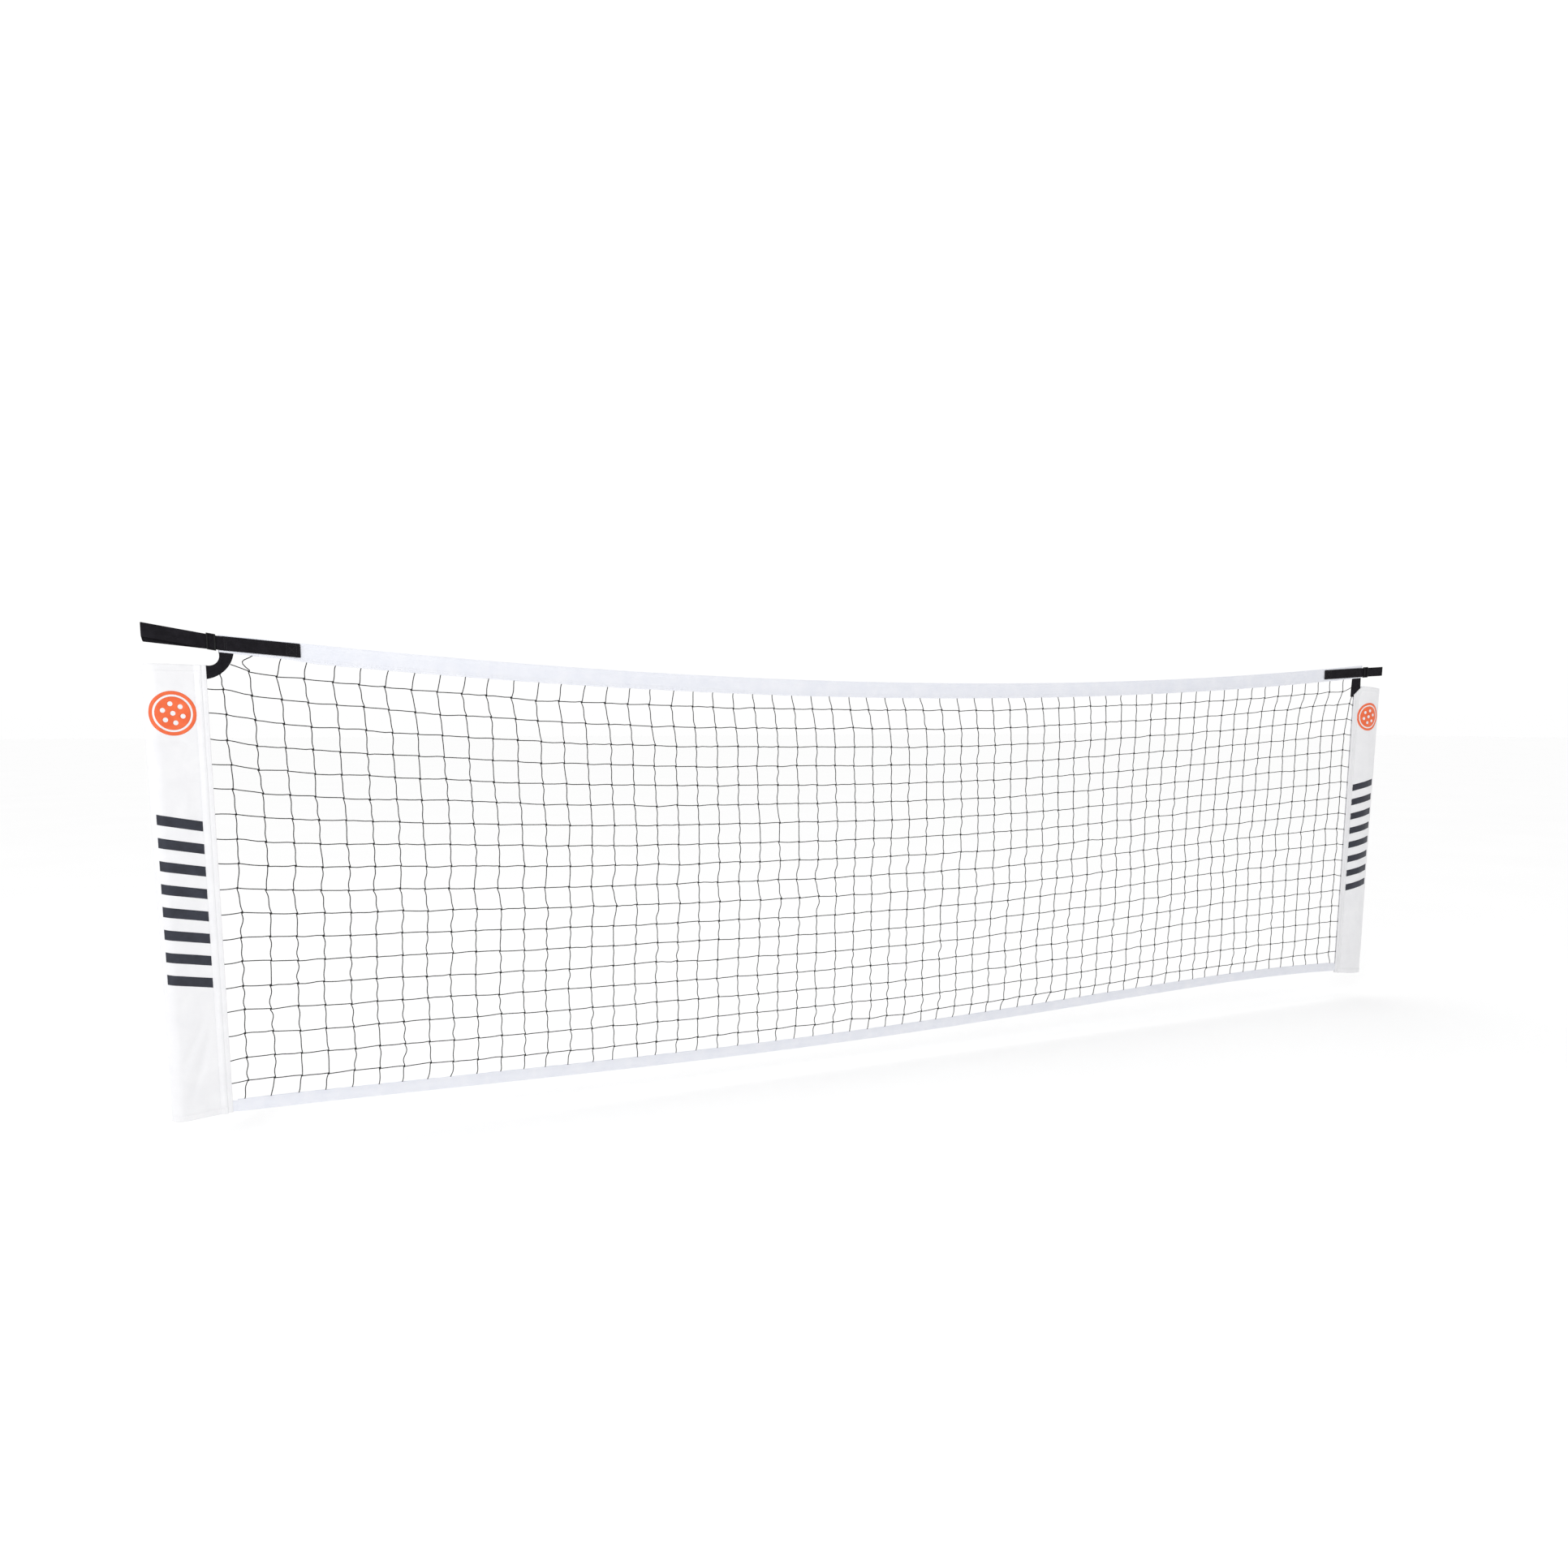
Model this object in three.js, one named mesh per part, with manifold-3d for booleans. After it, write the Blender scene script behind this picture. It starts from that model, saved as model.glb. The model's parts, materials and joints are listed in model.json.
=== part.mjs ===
// A portable pickleball net, 10 ft wide: the net on its own, without posts or frame.
// Millimetres, +Z up. X runs along the net, -Y is the front face, and Z = 0 is the foot of the
// two post sleeves. The knotted mesh is a thin panel here, with the real outline.

import * as THREE from 'three';
import { mergeVertices } from 'three/addons/utils/BufferGeometryUtils.js';
import Module from 'manifold-3d';

const wasm = await Module();
wasm.setup();

// ---------------------------------------------------------------- driving dimensions

const NET_WIDTH = 3048; // 10 ft, from one sleeve's outer fold to the other's
const LEFT = -1;
const RIGHT = 1;

// The upper edge of the top tape hangs as a shallow parabola.
const TOP_MIDDLE = 795;
const TOP_SAG = 63;
const TOP_SAG_HALF_SPAN = 1400;

// The lower edge of the bottom tape, from the left end to the right end.
const BOTTOM_EDGE = [[-1418, 1], [-900, -9], [-400, -17], [100, -13], [650, 2], [1180, 13], [1418, 6]];

const TAPE_FABRIC = 0.9;
const TAPE_FOLD_DEPTH = 2; // how much of the tape's height its rounded fold takes
const TOP_TAPE_HEIGHT = 34;
const TOP_TAPE_HALF = 2.9;
const TOP_TAPE_LEFT_END = -1402;
const TOP_TAPE_RIGHT_END = 1448;
const BOTTOM_TAPE_HEIGHT = 23;
const BOTTOM_TAPE_HALF = 2.3;
const BOTTOM_TAPE_END = 1415.5;
const SIDE_CORD_RADIUS = 1.3;
const FOOT_CORD_RADIUS = 1;
const HEADLINE_RADIUS = 1.5;
const HEADLINE_BELOW_FOLD = 3.6;
const FOOT_CORD_ABOVE_FOLD = 3.4;
const CORD_END_MARGIN = 4; // how far a border cord ends inside its tape
const CORD_SIDES = 8;

const NET_HALF_THICKNESS = 1;
const NET_LEFT_END = -1416;
const NET_RIGHT_END = 1413;
const NET_TUCK = 8; // how far the mesh reaches up into the top tape and down into the bottom tape

const SLEEVE_HEIGHT = 805;
const SLEEVE_FABRIC = 1.4;
const SLEEVE_NOSE_RADIUS = 19;
const SLEEVE_FLANGE_HALF = 1.6;
const SLEEVE_FLANGE_IN = 1438; // distance of the sewn flange's inner edge from the net's middle
const SLEEVE_POCKET_IN = 1447; // where the two layers part and the post pocket begins
const NOSE_STEPS = 18;
const FLAT_FOLD_RADIUS = 3; // outer fold of the right sleeve, which hangs almost flat
const FLAT_BULGE = 6;
const FLAT_STEPS = 12;

const EDGE_TAPE_IN = 1424.3;
const EDGE_TAPE_OUT = 1437.6;
const EDGE_TAPE_HALF = 2.6;
const SIDE_CORD_AT = 1433;

const CORNER_RADIUS = 35; // the rounded inner top corner of the right sleeve
const CORNER_CENTRE = [1453, 770];

const BINDING_HALF = 0.8;
const LEFT_BINDING_CENTRE = [-1425, 827];
const LEFT_BINDING_INNER = 22.5;
const LEFT_BINDING_OUTER = 45.5;
const LEFT_BINDING_SWEEP = (75 * Math.PI) / 180;
const RIGHT_BINDING_INNER_EDGE = 1415;
const RIGHT_BINDING_OUTER_EDGE = 1446;
const RIGHT_BINDING_TOP = 832;
const RIGHT_BINDING_FOOT = 775;
const BINDING_CLEARANCE = 1.5;
const ARC_STEPS = 12;

const TOUCH_GAP = 0.3; // left between pieces that lie on each other
const WEBBING_WIDTH = 23.6;
const WEBBING_THICKNESS = 1.4;
const STRAP_HINGE_AT = { [LEFT]: 1404, [RIGHT]: 1450 };
const STRAP_ROOT = { [LEFT]: 843.4, [RIGHT]: 842.7 }; // webbing centreline at the hinge line
const STRAP_SLOPE = { [LEFT]: 0.0775, [RIGHT]: 0.0605 }; // rise of the sewn webbing towards the hinge line
const ANCHOR_LENGTH = { [LEFT]: 132.1, [RIGHT]: 145.3 };
const STRAP_HINGE_GAP = 0.9;
const LOOP_REACH = { [LEFT]: 117, [RIGHT]: 79.5 }; // hinge line to the far fold
const LOOP_SLOPE = { [LEFT]: 0.168, [RIGHT]: 0.0605 };
const LOOP_BACK_DROP = { [LEFT]: 0.07, [RIGHT]: 0.005 };
const LOOP_DROP_FROM = 0.35; // share of the fold that is past before the webbing starts to drop
const LOOP_LAYER_SPACING = 6.4;
const LOOP_BACK_START = 12;
const FRONT_LAYER_Y = -(TOP_TAPE_HALF + TOUCH_GAP + WEBBING_THICKNESS / 2);

const GLIDE_START = 2.2; // hinge line to the slider's inner end
const GLIDE_LENGTH = 15;
const GLIDE_BAR = 3;
const GLIDE_MIDDLE_BAR_AT = 8.2; // hinge line to the middle bar's inner edge
const GLIDE_PLATE = 1.9;
const GLIDE_CLEARANCE = 0.4;
const GLIDE_RAIL = 2.6;
const GLIDE_WINDOW = WEBBING_WIDTH + 1;

const STITCH_THREAD = 1.1;
const STITCH_HEIGHT = 0.4;
const STITCH_BOX = 17;
const STITCH_MARGIN = 9;

// ---------------------------------------------------------------- materials

function finish(color, roughness, metalness = 0) {
  return new THREE.MeshStandardMaterial({ color, roughness, metalness });
}

const sleeveFabric = finish(0xf2f2f6, 0.8);
const tapeFabric = finish(0xeceef6, 0.75);
const meshTwine = finish(0x17171a, 0.8);
const cordBraid = finish(0x1c1c20, 0.85);
const blackWebbing = finish(0x222026, 0.85);
const blackPlastic = finish(0x1b1b1e, 0.45);
const blackThread = finish(0x2c2a30, 0.7);

// ---------------------------------------------------------------- helpers

// Height of the top tape's upper edge at x.
function topEdge(x) {
  return TOP_MIDDLE + TOP_SAG * (x / TOP_SAG_HALF_SPAN) ** 2;
}

// Height of the bottom tape's lower edge at x: a cubic through the edge's points.
function bottomEdge(x) {
  const points = BOTTOM_EDGE;
  const last = points.length - 1;
  let i = 0;
  while (i < last - 1 && x > points[i + 1][0]) i += 1;
  const slopeAt = (k) => {
    const before = points[Math.max(k - 1, 0)];
    const after = points[Math.min(k + 1, last)];
    return (after[1] - before[1]) / (after[0] - before[0]);
  };
  const [x0, z0] = points[i];
  const [x1, z1] = points[i + 1];
  const span = x1 - x0;
  const t = (x - x0) / span;
  const t2 = t * t;
  const t3 = t2 * t;
  return (2 * t3 - 3 * t2 + 1) * z0 + (t3 - 2 * t2 + t) * span * slopeAt(i)
    + (3 * t2 - 2 * t3) * z1 + (t3 - t2) * span * slopeAt(i + 1);
}

function shapeOf(points, holes = []) {
  const outline = points.map(([u, v]) => new THREE.Vector2(u, v));
  if (THREE.ShapeUtils.isClockWise(outline)) outline.reverse();
  const shape = new THREE.Shape(outline);
  for (const hole of holes) {
    shape.holes.push(new THREE.Path(hole.map(([u, v]) => new THREE.Vector2(u, v))));
  }
  return shape;
}

function extrude(shape, depth, steps = 1) {
  return new THREE.ExtrudeGeometry(shape, { depth, steps, bevelEnabled: false });
}

// Moves every vertex of a geometry to place(x, y, z).
function reshape(geometry, place) {
  const position = geometry.getAttribute('position');
  for (let i = 0; i < position.count; i += 1) {
    position.setXYZ(i, ...place(position.getX(i), position.getY(i), position.getZ(i)));
  }
  geometry.computeVertexNormals();
  return geometry;
}

// A section drawn in (y, v), swept along X; height(x, v) gives each point's Z.
function sweptAlongNet(section, fromX, toX, steps, height) {
  const swept = extrude(shapeOf(section), toX - fromX, steps);
  return reshape(swept, (y, v, along) => {
    const x = fromX + along;
    return [x, y, height(x, v)];
  });
}

// An outline drawn in (x, z), with its thickness centred on yCentre.
function flatPiece(outline, yCentre, thickness, holes = []) {
  const piece = extrude(shapeOf(outline, holes), thickness);
  piece.rotateX(Math.PI / 2);
  piece.translate(0, yCentre + thickness / 2, 0);
  return piece;
}

function circle(radius, sides, centre = [0, 0]) {
  return Array.from({ length: sides }, (_, i) => {
    const angle = (2 * Math.PI * i) / sides;
    return [centre[0] + radius * Math.cos(angle), centre[1] + radius * Math.sin(angle)];
  });
}

function arc(centre, radius, fromAngle, toAngle, steps) {
  return Array.from({ length: steps + 1 }, (_, i) => {
    const angle = fromAngle + ((toAngle - fromAngle) * i) / steps;
    return [centre[0] + radius * Math.cos(angle), centre[1] + radius * Math.sin(angle)];
  });
}

function toSolid(geometry) {
  const bare = geometry.clone();
  bare.deleteAttribute('normal');
  bare.deleteAttribute('uv');
  const merged = mergeVertices(bare);
  return new wasm.Manifold(new wasm.Mesh({
    numProp: 3,
    vertProperties: new Float32Array(merged.getAttribute('position').array),
    triVerts: new Uint32Array(merged.index.array),
  }));
}

function toGeometry(solid) {
  const { vertProperties, triVerts } = solid.getMesh();
  const indexed = new THREE.BufferGeometry();
  indexed.setAttribute('position', new THREE.BufferAttribute(vertProperties, 3));
  indexed.setIndex(new THREE.BufferAttribute(triVerts, 1));
  const geometry = indexed.toNonIndexed();
  geometry.computeVertexNormals();
  return geometry;
}

const net = new THREE.Group();

function addPiece(name, geometry, material) {
  const mesh = new THREE.Mesh(geometry, material);
  mesh.name = name;
  net.add(mesh);
}

// ---------------------------------------------------------------- mesh, tapes and border cords

const SWEEP_STEPS = 30;
const ANCHOR_STEPS = 4;

// The fabric tape is folded over the edge of the mesh: a U of two layers joined at the fold.
// The section has its fold at v = 0 and its open mouth at v = mouth, above or below the fold.
function foldedSection(half, mouth) {
  const inner = half - TAPE_FABRIC;
  const inward = Math.sign(mouth);
  const shoulder = 0.6 * half;
  const outerSide = inward * TAPE_FOLD_DEPTH;
  const outerShoulder = 0.25 * outerSide;
  const innerSide = 1.2 * outerSide;
  const innerFold = 1.2 * inward * TAPE_FABRIC;
  return [
    [-half, mouth], [-half, outerSide], [-shoulder, outerShoulder], [0, 0],
    [shoulder, outerShoulder], [half, outerSide], [half, mouth],
    [inner, mouth], [inner, innerSide], [0, innerFold], [-inner, innerSide], [-inner, mouth],
  ];
}

// Everything beyond the mesh's cut corner at the left end, where the binding runs.
function meshCornerCutter() {
  const reach = LEFT_BINDING_OUTER + BINDING_CLEARANCE;
  const [cx, cz] = LEFT_BINDING_CENTRE;
  const cut = arc(LEFT_BINDING_CENTRE, reach, 0, -Math.PI / 2, ARC_STEPS);
  const beyond = [[cx - reach, cz - reach], [cx - reach, cz + reach], [cx + reach, cz + reach]];
  return toSolid(flatPiece([...cut, ...beyond], 0, 10 * NET_HALF_THICKNESS));
}

function addMeshAndTapes() {
  const half = NET_HALF_THICKNESS;
  const panel = sweptAlongNet(
    [[-half, 0], [half, 0], [half, 1], [-half, 1]], NET_LEFT_END, NET_RIGHT_END, SWEEP_STEPS,
    (x, v) => (v > 0.5
      ? topEdge(x) - TOP_TAPE_HEIGHT + NET_TUCK
      : bottomEdge(x) + BOTTOM_TAPE_HEIGHT - NET_TUCK),
  );
  addPiece('net_mesh', toGeometry(toSolid(panel).subtract(meshCornerCutter())), meshTwine);

  addPiece('top_tape', sweptAlongNet(
    foldedSection(TOP_TAPE_HALF, -TOP_TAPE_HEIGHT), TOP_TAPE_LEFT_END, TOP_TAPE_RIGHT_END, SWEEP_STEPS,
    (x, v) => topEdge(x) + v,
  ), tapeFabric);
  addPiece('headline_cord', sweptAlongNet(
    circle(HEADLINE_RADIUS, CORD_SIDES, [0, -HEADLINE_BELOW_FOLD]),
    TOP_TAPE_LEFT_END + CORD_END_MARGIN, TOP_TAPE_RIGHT_END - CORD_END_MARGIN, SWEEP_STEPS,
    (x, v) => topEdge(x) + v,
  ), cordBraid);

  addPiece('bottom_tape', sweptAlongNet(
    foldedSection(BOTTOM_TAPE_HALF, BOTTOM_TAPE_HEIGHT), -BOTTOM_TAPE_END, BOTTOM_TAPE_END, SWEEP_STEPS,
    (x, v) => bottomEdge(x) + v,
  ), tapeFabric);
  addPiece('foot_cord', sweptAlongNet(
    circle(FOOT_CORD_RADIUS, CORD_SIDES, [0, FOOT_CORD_ABOVE_FOLD]),
    CORD_END_MARGIN - BOTTOM_TAPE_END, BOTTOM_TAPE_END - CORD_END_MARGIN, SWEEP_STEPS,
    (x, v) => bottomEdge(x) + v,
  ), cordBraid);
}

// ---------------------------------------------------------------- post sleeves and their edges

// Plan outline of a post sleeve: a round nose on the outside, two straight sides closing on a tip.
function teardrop(side, tipAt, tipHalf, noseRadius) {
  const noseCentre = NET_WIDTH / 2 - SLEEVE_NOSE_RADIUS;
  const touch = Math.acos((noseRadius - tipHalf) / (noseCentre - tipAt));
  const nose = arc([noseCentre, 0], noseRadius, touch - Math.PI, Math.PI - touch, NOSE_STEPS);
  return [[tipAt, -tipHalf], ...nose, [tipAt, tipHalf]].map(([x, y]) => [side * x, y]);
}

// Plan outline of a sleeve that hangs almost flat: a slight bulge between its tip and a tight fold.
function pillow(side, tipAt, tipHalf, foldRadius, bulge) {
  const foldAt = NET_WIDTH / 2 - FLAT_FOLD_RADIUS;
  const back = Array.from({ length: FLAT_STEPS + 1 }, (_, i) => {
    const t = i / FLAT_STEPS;
    const half = tipHalf + (foldRadius - tipHalf) * t + bulge * Math.sin(Math.PI * t);
    return [tipAt + (foldAt - tipAt) * t, half];
  });
  const front = back.map(([x, y]) => [x, -y]);
  const fold = arc([foldAt, 0], foldRadius, -Math.PI / 2, Math.PI / 2, FLAT_STEPS).slice(1, -1);
  return [...front, ...fold, ...back.reverse()].map(([x, y]) => [side * x, y]);
}

// Outline and post pocket of a sleeve: the left one hangs open and the right one almost flat.
function sleevePlan(side) {
  if (side === LEFT) {
    return [
      teardrop(side, SLEEVE_FLANGE_IN, SLEEVE_FLANGE_HALF, SLEEVE_NOSE_RADIUS),
      teardrop(side, SLEEVE_POCKET_IN, 0.4, SLEEVE_NOSE_RADIUS - SLEEVE_FABRIC),
    ];
  }
  return [
    pillow(side, SLEEVE_FLANGE_IN, SLEEVE_FLANGE_HALF, FLAT_FOLD_RADIUS, FLAT_BULGE),
    pillow(side, SLEEVE_POCKET_IN, 0.4, FLAT_FOLD_RADIUS - SLEEVE_FABRIC, FLAT_BULGE - 0.2),
  ];
}

// Everything inward of the rounded inner top corner of the right sleeve.
function cornerCutter() {
  const [cx, cz] = CORNER_CENTRE;
  const reach = 2 * CORNER_RADIUS;
  const rounding = arc(CORNER_CENTRE, CORNER_RADIUS, Math.PI, Math.PI / 2, ARC_STEPS);
  const beyond = [[cx, cz + reach], [cx - reach, cz + reach], [cx - reach, cz]];
  return toSolid(flatPiece([...rounding, ...beyond], 0, 2 * reach));
}

function addPostSleeve(side, name) {
  const [outline, pocket] = sleevePlan(side);
  const sleeve = extrude(shapeOf(outline, [pocket]), SLEEVE_HEIGHT);

  const inner = EDGE_TAPE_HALF - TAPE_FABRIC;
  const edge = [
    [EDGE_TAPE_IN, -EDGE_TAPE_HALF], [EDGE_TAPE_OUT, -EDGE_TAPE_HALF],
    [EDGE_TAPE_OUT, EDGE_TAPE_HALF], [EDGE_TAPE_IN, EDGE_TAPE_HALF],
    [EDGE_TAPE_IN, inner], [EDGE_TAPE_OUT - TAPE_FABRIC, inner],
    [EDGE_TAPE_OUT - TAPE_FABRIC, -inner], [EDGE_TAPE_IN, -inner],
  ].map(([x, y]) => [side * x, y]);
  const edgeTape = extrude(shapeOf(edge), SLEEVE_HEIGHT);

  const cordTop = side === RIGHT ? CORNER_CENTRE[1] : SLEEVE_HEIGHT;
  const sideCord = extrude(
    shapeOf(circle(SIDE_CORD_RADIUS, CORD_SIDES, [side * SIDE_CORD_AT, 0])),
    cordTop - 2 * CORD_END_MARGIN,
  );
  sideCord.translate(0, 0, CORD_END_MARGIN);

  if (side === RIGHT) {
    const cutter = cornerCutter();
    addPiece(`${name}_post_sleeve`, toGeometry(toSolid(sleeve).subtract(cutter)), sleeveFabric);
    addPiece(`${name}_edge_tape`, toGeometry(toSolid(edgeTape).subtract(cutter)), sleeveFabric);
  } else {
    addPiece(`${name}_post_sleeve`, sleeve, sleeveFabric);
    addPiece(`${name}_edge_tape`, edgeTape, sleeveFabric);
  }
  addPiece(`${name}_side_cord`, sideCord, cordBraid);
}

// ---------------------------------------------------------------- corner bindings

function addCornerBindings() {
  const left = [
    ...arc(LEFT_BINDING_CENTRE, LEFT_BINDING_OUTER, 0, -LEFT_BINDING_SWEEP, ARC_STEPS),
    ...arc(LEFT_BINDING_CENTRE, LEFT_BINDING_INNER, -LEFT_BINDING_SWEEP, 0, ARC_STEPS),
  ];
  addPiece('left_corner_binding', flatPiece(left, 0, 2 * BINDING_HALF), blackWebbing);

  const hollowRadius = CORNER_RADIUS + BINDING_CLEARANCE;
  const footAngle = Math.PI - Math.asin((RIGHT_BINDING_FOOT - CORNER_CENTRE[1]) / hollowRadius);
  const right = [
    [RIGHT_BINDING_INNER_EDGE, RIGHT_BINDING_TOP], [RIGHT_BINDING_INNER_EDGE, RIGHT_BINDING_FOOT],
    ...arc(CORNER_CENTRE, hollowRadius, footAngle, Math.PI / 2, ARC_STEPS),
    [RIGHT_BINDING_OUTER_EDGE, RIGHT_BINDING_TOP],
  ];
  addPiece('right_corner_binding', flatPiece(right, 0, 2 * BINDING_HALF), blackWebbing);
}

// ---------------------------------------------------------------- straps and sliders

const halfWidth = WEBBING_WIDTH / 2;
const halfThick = WEBBING_THICKNESS / 2;

function strapHeight(x) {
  const side = x < 0 ? LEFT : RIGHT;
  return STRAP_ROOT[side] + STRAP_SLOPE[side] * (Math.abs(x) - STRAP_HINGE_AT[side]);
}

// The webbing sewn flat on the front of the top tape.
function addStrapAnchor(side, name) {
  const outer = side * (STRAP_HINGE_AT[side] - STRAP_HINGE_GAP);
  const innerEnd = outer - side * ANCHOR_LENGTH[side];
  const section = [
    [FRONT_LAYER_Y - halfThick, -halfWidth], [FRONT_LAYER_Y + halfThick, -halfWidth],
    [FRONT_LAYER_Y + halfThick, halfWidth], [FRONT_LAYER_Y - halfThick, halfWidth],
  ];
  addPiece(`${name}_strap_anchor`, sweptAlongNet(
    section, Math.min(outer, innerEnd), Math.max(outer, innerEnd), ANCHOR_STEPS,
    (x, v) => strapHeight(x) + v,
  ), blackWebbing);
  addBoxStitch(side, name, innerEnd + side * STITCH_MARGIN);
}

// The thread that holds the anchor down: a square with its two diagonals, all in one line of thread.
function addBoxStitch(side, name, nearX) {
  const half = STITCH_BOX / 2;
  const rim = half - STITCH_THREAD;
  const gap = STITCH_THREAD * 0.75;
  const wedge = [[rim, rim - gap], [rim, gap - rim], [gap, 0]];
  const turned = (quarter) => wedge.map(([u, v]) => {
    const angle = (quarter * Math.PI) / 2;
    return [u * Math.cos(angle) - v * Math.sin(angle), u * Math.sin(angle) + v * Math.cos(angle)];
  });
  const square = [[-half, -half], [half, -half], [half, half], [-half, half]];
  const frontY = FRONT_LAYER_Y - halfThick - TOUCH_GAP - STITCH_HEIGHT / 2;
  const stitch = flatPiece(square, frontY, STITCH_HEIGHT, [0, 1, 2, 3].map(turned));
  const middle = nearX + side * half;
  reshape(stitch, (x, y, z) => [middle + x, y, strapHeight(middle + x) + z]);
  addPiece(`${name}_box_stitch`, stitch, blackThread);
}

// Plan outline of the strap loop: front layer, fold at the far end, back layer.
function loopOutline(side) {
  const start = STRAP_HINGE_GAP;
  const foldRadius = LOOP_LAYER_SPACING / 2;
  const foldAt = LOOP_REACH[side] - foldRadius - halfThick;
  const middleY = FRONT_LAYER_Y + foldRadius;
  const outer = arc([foldAt, middleY], foldRadius + halfThick, -Math.PI / 2, Math.PI / 2, ARC_STEPS);
  const inner = arc([foldAt, middleY], foldRadius - halfThick, Math.PI / 2, -Math.PI / 2, ARC_STEPS);
  const backY = middleY + foldRadius;
  return [
    [start, FRONT_LAYER_Y - halfThick], ...outer,
    [LOOP_BACK_START, backY + halfThick], [LOOP_BACK_START, backY - halfThick],
    ...inner, [start, FRONT_LAYER_Y + halfThick],
  ];
}

// Height of the strap's centreline at a distance out from the hinge line. The back layer drops
// away from the front one towards the fold.
function loopHeight(side, out, y) {
  const roundFold = (y - FRONT_LAYER_Y - halfThick) / (LOOP_LAYER_SPACING - WEBBING_THICKNESS);
  const towardsBack = THREE.MathUtils.clamp((roundFold - LOOP_DROP_FROM) / (1 - LOOP_DROP_FROM), 0, 1);
  return STRAP_ROOT[side] + out * (LOOP_SLOPE[side] - LOOP_BACK_DROP[side] * towardsBack);
}

function addStrapLoop(side, name) {
  const band = extrude(shapeOf(loopOutline(side).map(([out, y]) => [side * out, y])), WEBBING_WIDTH);
  reshape(band, (x, y, z) => [
    side * STRAP_HINGE_AT[side] + x, y, loopHeight(side, Math.abs(x), y) + z - halfWidth,
  ]);
  addPiece(`${name}_strap_loop`, band, blackWebbing);
}

// The slider: two rails, two end bars in front of the webbing and a middle bar behind it.
function addTriGlide(side, name) {
  const frontPlate = FRONT_LAYER_Y - halfThick - GLIDE_CLEARANCE - GLIDE_PLATE / 2;
  const backPlate = FRONT_LAYER_Y + halfThick + GLIDE_CLEARANCE + GLIDE_PLATE / 2;
  const slope = LOOP_SLOPE[side];
  const start = GLIDE_START;
  const end = GLIDE_START + GLIDE_LENGTH;
  const block = (outFrom, outTo, yFrom, yTo, zFrom, zTo) => {
    const outline = [[outFrom, yFrom], [outTo, yFrom], [outTo, yTo], [outFrom, yTo]];
    const solid = extrude(shapeOf(outline.map(([out, y]) => [side * out, y])), zTo - zFrom);
    solid.translate(0, 0, zFrom);
    return toSolid(solid);
  };
  const plate = GLIDE_PLATE / 2;
  const railIn = GLIDE_WINDOW / 2;
  const railOut = railIn + GLIDE_RAIL;
  const bar = (from, y) => block(from, from + GLIDE_BAR, y - plate, y + plate, -railOut, railOut);
  const rail = (low, high) => block(start, end, frontPlate - plate, backPlate + plate, low, high);
  const solid = bar(start, frontPlate)
    .add(bar(GLIDE_MIDDLE_BAR_AT, backPlate))
    .add(bar(end - GLIDE_BAR, frontPlate))
    .add(rail(-railOut, -railIn))
    .add(rail(railIn, railOut));
  const glide = reshape(toGeometry(solid), (x, y, z) => [
    side * STRAP_HINGE_AT[side] + x, y,
    STRAP_ROOT[side] + Math.abs(x) * slope + z,
  ]);
  addPiece(`${name}_tri_glide`, glide, blackPlastic);
}

// ---------------------------------------------------------------- the whole net

addMeshAndTapes();
addCornerBindings();
for (const [side, name] of [[LEFT, 'left'], [RIGHT, 'right']]) {
  addPostSleeve(side, name);
  addStrapAnchor(side, name);
  addStrapLoop(side, name);
  addTriGlide(side, name);
}

export default net;
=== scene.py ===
# The looks of a ten foot portable pickleball net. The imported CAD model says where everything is.
# Lengths are in millimetres, and make_piece() turns them into metres.

import json
import math

import bmesh
import bpy
import numpy as np
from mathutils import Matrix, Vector
from mathutils.geometry import delaunay_2d_cdt


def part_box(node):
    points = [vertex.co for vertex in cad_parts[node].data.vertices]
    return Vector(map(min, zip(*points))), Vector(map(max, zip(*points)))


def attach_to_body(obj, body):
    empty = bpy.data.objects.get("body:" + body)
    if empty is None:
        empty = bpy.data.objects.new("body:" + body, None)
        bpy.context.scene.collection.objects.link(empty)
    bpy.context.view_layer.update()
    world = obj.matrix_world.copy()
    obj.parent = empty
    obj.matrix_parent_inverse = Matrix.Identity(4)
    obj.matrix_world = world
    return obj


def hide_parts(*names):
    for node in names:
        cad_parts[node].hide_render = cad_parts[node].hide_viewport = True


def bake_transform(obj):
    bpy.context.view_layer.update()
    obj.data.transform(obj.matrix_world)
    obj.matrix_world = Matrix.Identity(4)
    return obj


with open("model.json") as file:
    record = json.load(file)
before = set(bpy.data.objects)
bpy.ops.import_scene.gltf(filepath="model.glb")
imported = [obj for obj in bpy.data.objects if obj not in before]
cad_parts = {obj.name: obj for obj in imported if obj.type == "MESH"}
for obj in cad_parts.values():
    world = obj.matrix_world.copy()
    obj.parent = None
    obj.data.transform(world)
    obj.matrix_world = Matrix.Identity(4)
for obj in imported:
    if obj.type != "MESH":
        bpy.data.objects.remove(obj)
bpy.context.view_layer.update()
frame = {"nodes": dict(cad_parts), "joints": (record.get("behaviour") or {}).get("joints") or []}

MM = 0.001
LEFT, RIGHT = -1, 1
SIDES = {LEFT: "left", RIGHT: "right"}
TAU = 2 * math.pi


# ------------------------------------------------------------------ what the frame says


def box_mm(node):
    low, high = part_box(node)
    return np.array(low) / MM, np.array(high) / MM


def node_points(node):
    return np.array([v.co for v in frame["nodes"][node].data.vertices]) / MM


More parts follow.
